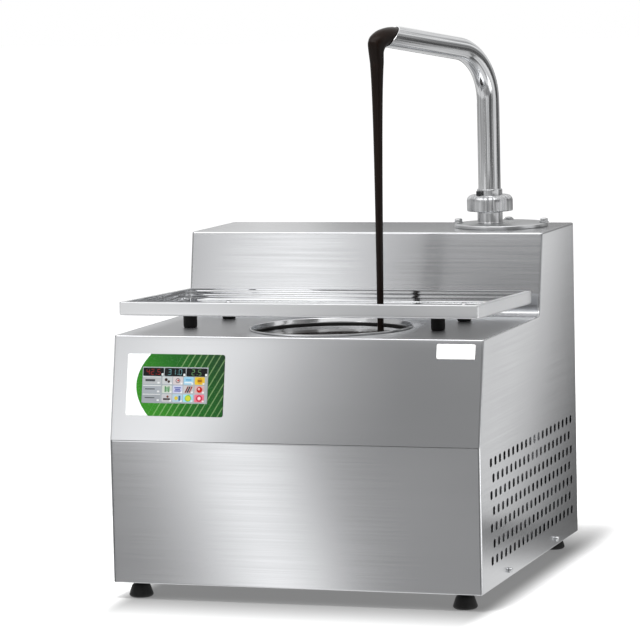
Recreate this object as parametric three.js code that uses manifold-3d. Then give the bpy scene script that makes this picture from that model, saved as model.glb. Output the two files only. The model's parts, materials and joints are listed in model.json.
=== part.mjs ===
// Table-top chocolate tempering machine: a sheet-steel casing with a stepped rear tower, a round
// tank under a lift-off mould tray, and a screw pump that feeds a swan-neck spout over the tank.
// Millimetres, +Z up, the front faces -Y. The origin is the centre of the footprint on the table.
import * as THREE from 'three';
import { mergeVertices } from 'three/addons/utils/BufferGeometryUtils.js';
import Module from 'manifold-3d';

const wasm = await Module();
wasm.setup();

const degree = Math.PI / 180;
const xAxis = new THREE.Vector3(1, 0, 0);
const zAxis = new THREE.Vector3(0, 0, 1);

// Gaps between neighbouring pieces
const gap = {
  face: 0.3, // between pieces that lie against each other
  running: 0.5, // round a turning piece
  screw: 0.4, // round a screw's shank
};
const overrun = 6; // how far a cutting shape passes the sheet it cuts

const casing = {
  width: 520,
  depth: 520,
  sheet: 1.5,
  clearUnder: 22, // table to the underside
  creaseHeight: 217.5, // where the lower front meets the sloping control front
  deckHeight: 357,
  towerHeight: 472,
  deckSetBack: 29, // deck's front edge behind the lower front
  towerFootSetBack: 321, // tower's face at the deck, behind the lower front
  towerHeadSetBack: 342.5, // tower's face at the top
  towerFillet: 10,
  filletSteps: 4,
  backInset: 3, // back panel inside the casing's rear edge
  flangeHeight: 25, // base plate's upturned edges
};

const vent = {
  holeWidth: 10,
  holeHeight: 12.3,
  cornerShare: 0.3, // of the width, cut off each corner
  leastFromBack: 30, // last holes' centres to the casing's rear
  pitch: 22.8,
  rows: 7,
  rowPitch: 21.9,
  firstFromFront: 51.5,
  lowestRow: 59.5, // height of the lowest row's centres
};

const backSlot = {
  width: 150,
  height: 5,
  count: 8,
  pitch: 13,
  fromRight: 165, // their centres from the casing's right side
  lowest: 80,
};

const panelScrew = {
  headRadius: 3.8,
  headLength: 5.5,
  shankRadius: 2.1,
  shankLength: 7,
  spacing: 254,
  height: 33,
  sides: 10,
};

const bodyFoot = {
  padRadius: 16.8,
  padHeight: 4.5,
  neckRadius: 12,
  neckStart: 11,
  studRadius: 4,
  studAbove: 14, // stud above the base plate
  sideInset: 31,
  frontInset: 24,
  backInset: 26,
  sides: 16,
};

const overlay = {
  fromLeft: 91.5, // its centre from the casing's left side
  width: 139,
  height: 84,
  upSlope: 75.5, // its centre above the crease, along the slope
  thickness: 1,
  corner: 4,
};

const display = {
  width: 94,
  height: 48.5,
  depth: 9,
  proud: 0.4,
  windowMargin: 1,
};

const controlBoard = { width: 120, height: 70, thickness: 1.6 };

const badge = {
  width: 53,
  height: 20,
  thickness: 1,
  corner: 3,
  rightInset: 37.5, // its centre from the casing's right side
  upSlope: 126,
};

const tank = {
  centreX: 12,
  setBack: 146, // its centre behind the lower front
  innerRadius: 108,
  wall: 1.5,
  depth: 235,
  cornerRadius: 20,
  cornerSteps: 2,
  rimWidth: 7,
  rimThickness: 2.5,
  sides: 40,
};

const mouthSeal = { width: 3, height: 6.5, belowDeck: 0.5 };

const pool = { belowDeck: 12.5, thickness: 15 };

const heaterBand = { thickness: 4, height: 26, aboveTankFloor: 58 };

const coil = {
  tubeRadius: 4,
  tubeSides: 6,
  turns: 4,
  pitch: 19,
  stepsPerTurn: 20,
  aboveTankFloor: 114,
  wallGap: 1.8,
};

const probe = {
  stemRadius: 4,
  reachInside: 5,
  headRadius: 7,
  headLength: 24,
  aboveTankFloor: 97,
  sides: 12,
};

const gearmotor = {
  boxSide: 90,
  boxHeight: 60,
  bossRadius: 16,
  bossHeight: 4,
  boreDepth: 30,
  shaftRadius: 7,
  motorRadius: 28,
  motorLength: 115,
  sides: 16,
};

const agitator = {
  reachShare: 0.925, // of the tank's inner radius
  hubRadius: 16,
  hubHeight: 30,
  armHeight: 18,
  bladeThickness: 4,
  bladeWidth: 14,
  floorClear: 8,
  poolClear: 4,
};

const shaftSeal = { wall: 4, flangeWidth: 5, flangeThickness: 2, proud: 1 };

const pump = {
  rightInset: 103.5, // its axis from the casing's right side
  backInset: 75, // and from the casing's back
  barrelRadius: 30,
  barrelWall: 6,
  barrelFloor: 4,
  barrelBottom: 110,
  flangeRadius: 40,
  flangeThickness: 4,
  sides: 24,
};

const auger = {
  coreRadius: 8,
  pitch: 58,
  flightThickness: 4,
  stepsPerTurn: 10,
  belowOutlet: 30, // the screw's top under the tower's top
  sealHeight: 13,
};

const coupling = { radius: 17, length: 18 };

const transfer = { outerRadius: 22, innerRadius: 19, aboveTankFloor: 30, sides: 16 };

const pumpHeater = { thickness: 3.5, height: 150, aboveBarrelBottom: 110 };

const flange = {
  radius: 66.5,
  thickness: 5,
  offsetX: 15.5, // its centre from the pump's axis
  offsetY: 3,
  boltCircle: 62,
  boltAngles: [5, 95, 185],
  sides: 40,
};

const flangeBolt = {
  shankRadius: 3,
  washerRadius: 7,
  washerThickness: 1.2,
  headRadius: 5.6,
  headHeight: 5,
  below: 12, // shank under the flange
  sides: 12,
};

const union = {
  boreRadius: 14.5,
  neckRadius: 18,
  neckHeight: 16.5,
  threadRadius: 27,
  threadHeight: 9.5,
  sealHeight: 2,
  shoulderRadius: 25,
  shoulderHeight: 6,
  collarRadius: 18.2,
  collarHeight: 14,
  nutRadius: 33.3,
  nutTopWall: 5,
  nutSkirt: 9, // how far the nut reaches down over the thread
  nutChamfer: 2.5,
  sides: 28,
};

const spout = {
  outerRadius: 16,
  innerRadius: 14.5,
  bendStart: 652,
  bendRadius: 77,
  bendSteps: 10,
  rise: 8.2 * degree, // the arm climbs towards its mouth
  heading: 22.9 * degree, // from -Y towards -X
  mouthReach: 209, // mouth's centre from the pump's axis
  mouthSlant: 45 * degree,
  sides: 20,
};

const stream = {
  reach: 246.3, // falling column from the pump's axis
  topRadius: 8.8,
  neckLength: 45,
  neckPower: 0.43,
  headDrop: 33.8, // where the column starts, below the mouth's centre
  columnSteps: 7,
  sides: 12,
};
// The stream's bent head, ring by ring: the outer and the inner point as distances beyond the
// mouth's centre and above it, and the half width across the arm, all as shares of the pipe's radius.
const streamHeadShares = [
  [0.2, 0.9, 0.95, -0.72, 0.9],
  [0.97, 0.87, 1.2, -0.78, 0.87],
  [1.91, 0.68, 1.4, -0.88, 0.8],
  [2.72, 0.28, 1.55, -1.02, 0.74],
  [3.07, -0.13, 1.66, -1.2, 0.68],
  [3.15, -0.56, 1.72, -1.45, 0.62],
];

const tray = {
  width: 506,
  depth: 275,
  height: 18.3,
  sheet: 1.5,
  rim: 8,
  frontSetBack: 30,
  frontTopHeight: 401.8,
  tilt: 1.62 * degree, // the rear stands lower
  windowWidth: 204,
  windowDepth: 197,
  windowShift: 7, // window's centre behind the tank's
  windowCorner: 20,
  cornerSteps: 4,
};

const trayFoot = {
  radius: 9.5,
  studRadius: 3,
  nutRadius: 5,
  nutHeight: 3,
  frontX: [-187, 168],
  rearX: [-172, 172],
  frontSetBack: 130,
  rearSetBack: 246,
  sides: 12,
};

const compressor = {
  radius: 62,
  height: 170,
  footRadius: 70,
  footHeight: 8,
  leftInset: 110,
  backInset: 110,
  domeShare: 0.25, // of the height, rounded over
  domeSteps: 4,
  sides: 20,
};

const condenser = {
  thickness: 45,
  length: 190,
  height: 160,
  fins: 18,
  finDepth: 8,
  setBack: 100, // its front end behind the lower front
  wallGap: 8,
};

const fan = {
  shroudSide: 150,
  shroudThickness: 8.5,
  bladeRadius: 57,
  hubRadius: 16,
  hubLength: 14,
  bladeCount: 5,
  bladeThickness: 2,
  bladePitch: 28 * degree,
  motorRadius: 26,
  motorLength: 34,
  shaftRadius: 3,
  postWidth: 30,
  postThickness: 12,
  spacing: 4, // between motor, rotor and shroud
  sides: 16,
};

const dischargeLine = { tubeRadius: 3.2, height: 112, run: 28, passY: 100, sides: 8 };

const electrics = { width: 180, height: 100, depth: 60, leftInset: 60, height0: 330 };

const inlet = {
  fromLeft: 70, // its centre from the casing's left side
  centreZ: 79,
  flangeWidth: 56,
  flangeHeight: 64,
  flangeThickness: 2.5,
  bodyWidth: 48,
  bodyHeight: 54,
  bodyDepth: 28,
  socketWidth: 24,
  socketHeight: 16.5,
  socketDepth: 16,
  socketDrop: 12, // socket's centre under the plate's centre
  pinWidth: 2,
  pinHeight: 4,
  pinLength: 12,
  pinSpacing: 7,
  pinRise: 3,
  rockerWellWidth: 22,
  rockerWellHeight: 20,
  rockerWellDepth: 12,
  rockerLift: 14, // rocker's centre above the plate's centre
};

const rocker = {
  halfLength: 9,
  tipHeight: 2.6,
  valleyHeight: 1.2,
  skirt: 1,
  rootHalfLength: 4,
  rootDepth: 5.5,
  pivotDepth: 4.2,
  tilt: 7 * degree,
};

// Places worked out from the sizes above
const front = -casing.depth / 2;
const back = casing.depth / 2;
const halfWidth = casing.width / 2;
const innerHalfWidth = halfWidth - casing.sheet - gap.face;
const inletX = inlet.fromLeft - halfWidth;
const overlayX = overlay.fromLeft - halfWidth;
const innerFront = front + casing.sheet + gap.face;
const backPanelOuter = back - casing.backInset;
const innerBack = backPanelOuter - casing.sheet - gap.face;
const baseTop = casing.clearUnder + casing.sheet;
const standing = baseTop + gap.face; // the underside of what stands on the base plate
const slopeRise = casing.deckHeight - casing.creaseHeight;
const slopeTilt = Math.atan2(casing.deckSetBack, slopeRise);
const tankY = front + tank.setBack;
const tankFloor = casing.deckHeight - tank.depth;
const tankOuterRadius = tank.innerRadius + tank.wall;
const pumpX = halfWidth - pump.rightInset;
const pumpY = back - pump.backInset;
const flangeBottom = casing.towerHeight + gap.face;
const flangeTop = flangeBottom + flange.thickness;
const gearboxTop = standing + gearmotor.boxHeight;
const poolTop = casing.deckHeight - pool.belowDeck;
const streamFoot = poolTop + gap.face;

const finishes = {
  satinSteel: { color: 0xb9babb, roughness: 0.35, metalness: 1 },
  polishedSteel: { color: 0xd4d5d6, roughness: 0.12, metalness: 1 },
  castAlloy: { color: 0x9a9c9e, roughness: 0.5, metalness: 0.9 },
  copper: { color: 0xb9744a, roughness: 0.35, metalness: 1 },
  motorBlack: { color: 0x2b2d2f, roughness: 0.55, metalness: 0.1 },
  rubber: { color: 0x151515, roughness: 0.8, metalness: 0 },
  silicone: { color: 0x232222, roughness: 0.6, metalness: 0 },
  blackPlastic: { color: 0x1d1e20, roughness: 0.45, metalness: 0 },
  greenPanel: { color: 0x3c9a2f, roughness: 0.3, metalness: 0 },
  displayGlass: { color: 0x2c3032, roughness: 0.1, metalness: 0 },
  circuitBoard: { color: 0x1f5a34, roughness: 0.5, metalness: 0 },
  whitePlate: { color: 0xf2f2f2, roughness: 0.35, metalness: 0 },
  chocolate: { color: 0x2a1a12, roughness: 0.25, metalness: 0 },
};
const materials = Object.fromEntries(
  Object.entries(finishes).map(([name, look]) => [name, new THREE.MeshStandardMaterial(look)]),
);

const machine = new THREE.Group();

// Adds one named piece, keeping only the places of its corners.
function addPiece(parent, name, geometry, finish) {
  const mesh = new THREE.Mesh(closed(geometry), materials[finish]);
  mesh.name = name;
  parent.add(mesh);
  return mesh;
}

// Merges the corners that faces share and turns the faces outwards.
function closed(geometry) {
  const bare = geometry.clone();
  bare.deleteAttribute('normal');
  bare.deleteAttribute('uv');
  const merged = mergeVertices(bare);
  const index = Array.from(merged.index.array);
  const kept = [];
  for (let i = 0; i < index.length; i += 3) {
    const [a, b, c] = index.slice(i, i + 3);
    if (a !== b && b !== c && c !== a) kept.push(a, b, c);
  }
  if (signedVolume(merged.attributes.position, kept) < 0) kept.reverse();
  merged.setIndex(kept);
  return merged;
}

function signedVolume(position, index) {
  const corner = [new THREE.Vector3(), new THREE.Vector3(), new THREE.Vector3()];
  let volume = 0;
  for (let i = 0; i < index.length; i += 3) {
    corner.forEach((point, k) => point.fromBufferAttribute(position, index[i + k]));
    volume += corner[0].dot(corner[1].clone().cross(corner[2]));
  }
  return volume;
}

function toManifold(geometry) {
  const shape = closed(geometry);
  return new wasm.Manifold(new wasm.Mesh({
    numProp: 3,
    vertProperties: new Float32Array(shape.attributes.position.array),
    triVerts: new Uint32Array(shape.index.array),
  }));
}

function toGeometry(manifold) {
  const mesh = manifold.getMesh();
  const geometry = new THREE.BufferGeometry();
  geometry.setAttribute('position', new THREE.BufferAttribute(mesh.vertProperties, 3));
  geometry.setIndex(Array.from(mesh.triVerts));
  return geometry;
}

function cut(geometry, tools) {
  const left = tools.reduce((rest, tool) => rest.subtract(toManifold(tool)), toManifold(geometry));
  return toGeometry(left);
}

function join(geometries) {
  const [first, ...others] = geometries.map(toManifold);
  return toGeometry(others.reduce((sum, other) => sum.add(other), first));
}

// A box between two corners
function box([x0, y0, z0], [x1, y1, z1]) {
  const geometry = new THREE.BoxGeometry(x1 - x0, y1 - y0, z1 - z0);
  return geometry.translate((x0 + x1) / 2, (y0 + y1) / 2, (z0 + z1) / 2);
}

// A cylinder along Z over the point (x, y)
function post(radius, bottom, top, sides, x = 0, y = 0) {
  const geometry = new THREE.CylinderGeometry(radius, radius, top - bottom, sides);
  return geometry.rotateX(Math.PI / 2).translate(x, y, (bottom + top) / 2);
}

// A turned piece about Z. A profile that leaves the axis alone is closed into a ring.
function turned(profile, sides, x = 0, y = 0) {
  const points = profile.map(([radius, height]) => new THREE.Vector2(radius, height));
  const ring = profile.every(([radius]) => radius > 0);
  if (ring) points.push(points[0].clone());
  return new THREE.LatheGeometry(points, sides).rotateX(Math.PI / 2).translate(x, y, 0);
}

function outline(points, holes = []) {
  const shape = new THREE.Shape(points);
  holes.forEach((hole) => shape.holes.push(new THREE.Path(hole)));
  return shape;
}

function slab(shape, thickness) {
  return new THREE.ExtrudeGeometry(shape, { depth: thickness, bevelEnabled: false });
}

// Turns a slab drawn in (y, z) so that its thickness runs along +X.
function facingX(geometry) {
  return geometry.applyMatrix4(new THREE.Matrix4().set(0, 0, 1, 0, 1, 0, 0, 0, 0, 1, 0, 0, 0, 0, 0, 1));
}

// Turns a slab drawn in (x, z) so that its thickness runs along -Y.
function facingY(geometry) {
  return geometry.rotateX(Math.PI / 2);
}

function rectangle(x0, x1, y0, y1) {
  return [[x0, y0], [x1, y0], [x1, y1], [x0, y1]].map(([x, y]) => new THREE.Vector2(x, y));
}

function arcPoints(centreX, centreY, radius, from, to, steps) {
  return Array.from({ length: steps + 1 }, (_, i) => {
    const angle = from + (to - from) * i / steps;
    return new THREE.Vector2(centreX + radius * Math.cos(angle), centreY + radius * Math.sin(angle));
  });
}

function roundedRectangle(x0, x1, y0, y1, radius, steps) {
  const corners = [[x1, y1], [x0, y1], [x0, y0], [x1, y0]];
  return corners.flatMap(([x, y], i) => {
    const centreX = x === x1 ? x1 - radius : x0 + radius;
    const centreY = y === y1 ? y1 - radius : y0 + radius;
    return arcPoints(centreX, centreY, radius, i * Math.PI / 2, (i + 1) * Math.PI / 2, steps);
  });
}

// Skins rings of equally many points into a closed solid with flat ends.
function lofted(rings) {
  const count = rings[0].length;
  const points = rings.flat();
  const index = [];
  for (let i = 0; i + 1 < rings.length; i += 1) {
    for (let k = 0; k < count; k += 1) {
      const a = i * count + k;
      const b = i * count + (k + 1) % count;
      index.push(a, b, b + count, a, b + count, a + count);
    }
  }
  [0, rings.length - 1].forEach((end, turn) => {
    const middle = points.length;
    const sum = rings[end].reduce((total, point) => total.add(point), new THREE.Vector3());
    points.push(sum.divideScalar(count));
    for (let k = 0; k < count; k += 1) {
      const a = end * count + k;
      const b = end * count + (k + 1) % count;
      index.push(...(turn ? [middle, a, b] : [middle, b, a]));
    }
  });
  const geometry = new THREE.BufferGeometry().setFromPoints(points);
  geometry.setIndex(index);
  return geometry;
}

// Rings of a round tube along a path of points, mitred at each bend. A last plane may be slanted.
function tubeRings(path, radius, sides, endNormal = null) {
  const runs = path.slice(1).map((point, i) => point.clone().sub(path[i]).normalize());
  const upright = Math.abs(runs[0].z) > Math.abs(runs[0].x) + Math.abs(runs[0].y);
  let side = upright ? xAxis.clone() : zAxis.clone();
  side.addScaledVector(runs[0], -side.dot(runs[0])).normalize();
  return path.map((point, i) => {
    const along = runs[Math.min(i, runs.length - 1)];
    const before = runs[Math.max(i - 1, 0)];
    let normal = along.clone().add(before).normalize();
    if (endNormal && i === path.length - 1) normal = endNormal;
    side = side.clone().applyQuaternion(new THREE.Quaternion().setFromUnitVectors(before, along));
    side.addScaledVector(along, -side.dot(along)).normalize();
    const across = along.clone().cross(side);
    return Array.from({ length: sides }, (_, k) => {
      const angle = 2 * Math.PI * k / sides;
      const offset = side.clone().multiplyScalar(radius * Math.cos(angle));
      offset.addScaledVector(across, radius * Math.sin(angle));
      offset.addScaledVector(along, -offset.dot(normal) / along.dot(normal));
      return point.clone().add(offset);
    });
  });
}

function rod(path, radius, sides) {
  return lofted(tubeRings(path, radius, sides));
}

// A tube with an open bore: its outer and inner skins joined by flat rings at both ends.
function pipe(path, outerRadius, innerRadius, sides, endNormal = null) {
  const outer = tubeRings(path, outerRadius, sides, endNormal);
  const inner = tubeRings(path, innerRadius, sides, endNormal);
  const loop = [...outer, ...inner.reverse()];
  const index = [];
  loop.forEach((_, i) => {
    const next = (i + 1) % loop.length;
    for (let k = 0; k < sides; k += 1) {
      const after = (k + 1) % sides;
      const [a, b] = [i * sides + k, i * sides + after];
      const [c, d] = [next * sides + after, next * sides + k];
      index.push(a, b, c, a, c, d);
    }
  });
  const geometry = new THREE.BufferGeometry().setFromPoints(loop.flat());
  geometry.setIndex(index);
  return geometry;
}

// Casing

// The cover's profile in (y, z) from the crease to the rear, at a depth under its outer face.
function coverPath(depth) {
  const slopeStart = front + depth / Math.cos(slopeTilt);
  const deck = casing.deckHeight - depth;
  const slopeEnd = slopeStart + (deck - casing.creaseHeight) * Math.tan(slopeTilt);
  const faceLean = Math.atan2(
    casing.towerHeadSetBack - casing.towerFootSetBack,
    casing.towerHeight - casing.deckHeight,
  );
  const foot = front + casing.towerFootSetBack + depth / Math.cos(faceLean);
  const footY = foot - depth * Math.tan(faceLean);
  const top = casing.towerHeight - depth;
  const headY = footY + (top - deck) * Math.tan(faceLean);
  const radius = casing.towerFillet + depth;
  const reach = radius * Math.tan((Math.PI / 2 - faceLean) / 2);
  const fillet = arcPoints(
    footY - reach,
    deck + radius,
    radius,
    -Math.PI / 2,
    -faceLean,
    casing.filletSteps,
  );
  return [
    new THREE.Vector2(slopeStart, casing.creaseHeight),
    new THREE.Vector2(slopeEnd, deck),
    ...fillet,
    new THREE.Vector2(headY, top),
    new THREE.Vector2(back, top),
  ];
}

function topCover() {
  const sheet = outline([...coverPath(0), ...coverPath(casing.sheet).reverse()]);
  const folded = facingX(slab(sheet, 2 * innerHalfWidth)).translate(-innerHalfWidth, 0, 0);
  const deck = [casing.deckHeight - overrun, casing.deckHeight + overrun];
  const roof = [casing.towerHeight - overrun, casing.towerHeight + overrun];
  const window = box(
    [overlayX - display.width / 2 - display.windowMargin, -overrun, windowLow()],
    [overlayX + display.width / 2 + display.windowMargin, overrun, windowHigh()],
  );
  window.rotateX(-slopeTilt).translate(0, front, casing.creaseHeight);
  const shanks = flangeBoltPlaces().map(([x, y]) => (
    post(flangeBolt.shankRadius + gap.screw, ...roof, flangeBolt.sides, x, y)));
  return cut(folded, [
    post(tankOuterRadius + gap.face, ...deck, tank.sides, tank.centreX, tankY),
    post(pump.barrelRadius + gap.face, ...roof, pump.sides, pumpX, pumpY),
    window,
    ...shanks,
  ]);
}

function windowLow() {
  return overlay.upSlope - display.height / 2 - display.windowMargin;
}

function windowHigh() {
  return overlay.upSlope + display.height / 2 + display.windowMargin;
}

// One cooling hole in (y, z): an upright slot with cut corners
function ventHole(y, z) {
  const w = vent.holeWidth / 2;
  const h = vent.holeHeight / 2;
  const c = vent.holeWidth * vent.cornerShare;
  const corners = [
    [w, c - h], [w, h - c], [w - c, h], [c - w, h],
    [-w, h - c], [-w, c - h], [c - w, -h], [w - c, -h],
  ];
  return corners.map(([dy, dz]) => new THREE.Vector2(y + dy, z + dz));
}

function ventHoles() {
  const room = casing.depth - vent.firstFromFront - vent.leastFromBack;
  const columns = Math.floor(room / vent.pitch) + 1;
  const holes = [];
  for (let row = 0; row < vent.rows; row += 1) {
    const odd = row % 2;
    for (let column = 0; column < columns - odd; column += 1) {
      const y = front + vent.firstFromFront + (column + odd / 2) * vent.pitch;
      holes.push(ventHole(y, vent.lowestRow + row * vent.rowPitch));
    }
  }
  return holes;
}

function screwHoles() {
  return [-1, 1].map((end) => arcPoints(
    end * panelScrew.spacing / 2,
    panelScrew.height,
    panelScrew.shankRadius + gap.screw,
    0,
    2 * Math.PI * (1 - 1 / panelScrew.sides),
    panelScrew.sides - 1,
  ));
}

function sidePanel(holes) {
  const profile = [
    new THREE.Vector2(front, casing.clearUnder),
    ...coverPath(0),
    new THREE.Vector2(back, casing.clearUnder),
  ];
  return facingX(slab(outline(profile, [...holes, ...screwHoles()]), casing.sheet));
}

function frontPanel() {
  const top = casing.creaseHeight - gap.face;
  return box(
    [-innerHalfWidth, front, casing.clearUnder],
    [innerHalfWidth, front + casing.sheet, top],
  );
}

function backPanel() {
  const top = casing.towerHeight - casing.sheet - gap.face;
  const slots = Array.from({ length: backSlot.count }, (_, i) => {
    const z = backSlot.lowest + i * backSlot.pitch;
    const x = halfWidth - backSlot.fromRight;
    return rectangle(x - backSlot.width / 2, x + backSlot.width / 2, z, z + backSlot.height);
  });
  const opening = rectangle(
    inletX - inlet.bodyWidth / 2 - gap.face,
    inletX + inlet.bodyWidth / 2 + gap.face,
    inlet.centreZ - inlet.bodyHeight / 2 - gap.face,
    inlet.centreZ + inlet.bodyHeight / 2 + gap.face,
  );
  const plate = outline(
    rectangle(-innerHalfWidth, innerHalfWidth, casing.clearUnder, top),
    [...slots, opening],
  );
  return facingY(slab(plate, casing.sheet)).translate(0, backPanelOuter, 0);
}

function footPlaces() {
  const x = halfWidth - bodyFoot.sideInset;
  const rows = { front: front + bodyFoot.frontInset, rear: back - bodyFoot.backInset };
  return Object.entries(rows).flatMap(([row, y]) => [
    { name: `${row}_left`, x: -x, y },
    { name: `${row}_right`, x, y },
  ]);
}

function basePlate() {
  const top = casing.clearUnder + casing.flangeHeight;
  const outer = box([-innerHalfWidth, innerFront, casing.clearUnder], [innerHalfWidth, innerBack, top]);
  const hollow = box(
    [-innerHalfWidth + casing.sheet, innerFront + casing.sheet, baseTop],
    [innerHalfWidth - casing.sheet, innerBack - casing.sheet, top + overrun],
  );
  const studs = footPlaces().map(({ x, y }) => post(
    bodyFoot.studRadius + gap.screw,
    casing.clearUnder - overrun,
    baseTop + overrun,
    bodyFoot.sides,
    x,
    y,
  ));
  const screws = [-1, 1].map((end) => {
    const length = innerHalfWidth + overrun;
    const shank = post(panelScrew.shankRadius + gap.screw, -length, length, panelScrew.sides);
    return shank.rotateY(Math.PI / 2).translate(0, end * panelScrew.spacing / 2, panelScrew.height);
  });
  return cut(outer, [hollow, ...studs, ...screws]);
}

function addCasing() {
  addPiece(machine, 'top_cover', topCover(), 'satinSteel');
  addPiece(machine, 'front_panel', frontPanel(), 'satinSteel');
  addPiece(machine, 'back_panel', backPanel(), 'satinSteel');
  addPiece(machine, 'base_plate', basePlate(), 'satinSteel');
  const left = addPiece(machine, 'left_side_panel', sidePanel([]), 'satinSteel');
  left.position.x = -halfWidth;
  const right = addPiece(machine, 'right_side_panel', sidePanel(ventHoles()), 'satinSteel');
  right.position.x = halfWidth - casing.sheet;
}

// A levelling foot: rubber pad, tapered neck and the stud that screws into the base plate
function addBodyFeet() {
  const neckTop = casing.clearUnder - gap.face;
  const profile = [
    [0, 0],
    [bodyFoot.padRadius, 0],
    [bodyFoot.padRadius, bodyFoot.padHeight],
    [bodyFoot.neckRadius, bodyFoot.neckStart],
    [bodyFoot.neckRadius, neckTop],
    [bodyFoot.studRadius, neckTop],
    [bodyFoot.studRadius, baseTop + bodyFoot.studAbove],
    [0, baseTop + bodyFoot.studAbove],
  ];
  footPlaces().forEach(({ name, x, y }) => {
    const foot = addPiece(machine, `foot_${name}`, turned(profile, bodyFoot.sides), 'rubber');
    foot.position.set(x, y, 0);
  });
}

function addPanelScrews() {
  const seat = halfWidth + gap.face;
  const profile = [
    [0, seat - panelScrew.shankLength],
    [panelScrew.shankRadius, seat - panelScrew.shankLength],
    [panelScrew.shankRadius, seat],
    [panelScrew.headRadius, seat],
    [panelScrew.headRadius, seat + panelScrew.headLength],
    [0, seat + panelScrew.headLength],
  ];
  [['left', -1], ['right', 1]].forEach(([side, turn]) => {
    [['front', -1], ['rear', 1]].forEach(([row, end]) => {
      const screw = turned(profile, panelScrew.sides).rotateY(turn * Math.PI / 2);
      const mesh = addPiece(machine, `panel_screw_${side}_${row}`, screw, 'polishedSteel');
      mesh.position.set(0, end * panelScrew.spacing / 2, panelScrew.height);
    });
  });
}

// Control panel and blank badge, on the sloping front. Local +Z runs up the slope.
function addControls() {
  const slope = new THREE.Group();
  slope.position.set(0, front, casing.creaseHeight);
  slope.rotation.x = -slopeTilt;
  machine.add(slope);
  const screen = rectangle(
    -display.width / 2 - gap.face,
    display.width / 2 + gap.face,
    -display.height / 2 - gap.face,
    display.height / 2 + gap.face,
  );
  const sheet = roundedRectangle(
    -overlay.width / 2,
    overlay.width / 2,
    -overlay.height / 2,
    overlay.height / 2,
    overlay.corner,
    tray.cornerSteps,
  );
  const panel = facingY(slab(outline(sheet, [screen]), overlay.thickness));
  const panelMesh = addPiece(slope, 'control_overlay', panel, 'greenPanel');
  panelMesh.position.set(overlayX, -gap.face, overlay.upSlope);

  const screenFront = -gap.face - overlay.thickness - display.proud;
  const screenBox = box(
    [-display.width / 2, screenFront, -display.height / 2],
    [display.width / 2, screenFront + display.depth, display.height / 2],
  );
  const screenMesh = addPiece(slope, 'touch_display', screenBox, 'displayGlass');
  screenMesh.position.set(overlayX, 0, overlay.upSlope);

  const boardFront = screenFront + display.depth + gap.face;
  const board = box(
    [-controlBoard.width / 2, boardFront, -controlBoard.height / 2],
    [controlBoard.width / 2, boardFront + controlBoard.thickness, controlBoard.height / 2],
  );
  const boardMesh = addPiece(slope, 'control_board', board, 'circuitBoard');
  boardMesh.position.set(overlayX, 0, overlay.upSlope);

  const plate = roundedRectangle(
    -badge.width / 2,
    badge.width / 2,
    -badge.height / 2,
    badge.height / 2,
    badge.corner,
    tray.cornerSteps,
  );
  const badgePlate = facingY(slab(outline(plate), badge.thickness));
  const badgeMesh = addPiece(slope, 'badge_plate', badgePlate, 'whitePlate');
  badgeMesh.position.set(halfWidth - badge.rightInset, -gap.face, badge.upSlope);
}

// Tank and what heats, cools, stirs and senses it

function tankBowl() {
  const hole = gearmotor.shaftRadius + gap.running + shaftSeal.wall + gap.face;
  const inner = tank.innerRadius;
  const rimBottom = casing.deckHeight + gap.face;
  const rimTop = rimBottom + tank.rimThickness;
  const flat = inner - tank.cornerRadius;
  const bend = tankFloor + tank.cornerRadius;
  const toPair = (point) => [point.x, point.y];
  const insideArc = arcPoints(flat, bend, tank.cornerRadius, -Math.PI / 2, 0, tank.cornerSteps);
  const outsideRadius = tank.cornerRadius + tank.wall;
  const outsideArc = arcPoints(flat, bend, outsideRadius, 0, -Math.PI / 2, tank.cornerSteps);
  const profile = [
    [hole, tankFloor],
    ...insideArc.map(toPair),
    [inner, rimTop],
    [inner + tank.rimWidth, rimTop],
    [inner + tank.rimWidth, rimBottom],
    [tankOuterRadius, rimBottom],
    ...outsideArc.map(toPair),
    [hole, tankFloor - tank.wall],
  ];
  const bowl = turned(profile, tank.sides, tank.centreX, tankY);
  const port = rod(transferPath(0), transfer.innerRadius, transfer.sides);
  const stem = post(probe.stemRadius + gap.screw, 0, tankOuterRadius + overrun, probe.sides);
  stem.rotateY(-Math.PI / 2).translate(tank.centreX, tankY, tankFloor + probe.aboveTankFloor);
  return cut(bowl, [port, stem]);
}

// The straight way from the tank's wall to the pump, starting some way out from the tank's axis
function transferPath(start) {
  const height = tankFloor + transfer.aboveTankFloor;
  const from = new THREE.Vector3(tank.centreX, tankY, height);
  const to = new THREE.Vector3(pumpX, pumpY, height);
  const along = to.clone().sub(from).normalize();
  return [from.addScaledVector(along, start + tank.innerRadius / 2), to];
}

function addTank() {
  addPiece(machine, 'tank', tankBowl(), 'satinSteel');
  const sealOuter = tank.innerRadius - gap.face;
  const sealTop = casing.deckHeight - mouthSeal.belowDeck;
  const seal = turned([
    [sealOuter - mouthSeal.width, sealTop - mouthSeal.height],
    [sealOuter, sealTop - mouthSeal.height],
    [sealOuter, sealTop],
    [sealOuter - mouthSeal.width, sealTop],
  ], tank.sides, tank.centreX, tankY);
  addPiece(machine, 'tank_mouth_seal', seal, 'silicone');
  const chocolate = post(
    tank.innerRadius - gap.face,
    poolTop - pool.thickness,
    poolTop,
    tank.sides,
    tank.centreX,
    tankY,
  );
  addPiece(machine, 'chocolate_in_tank', chocolate, 'chocolate');
}

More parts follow.
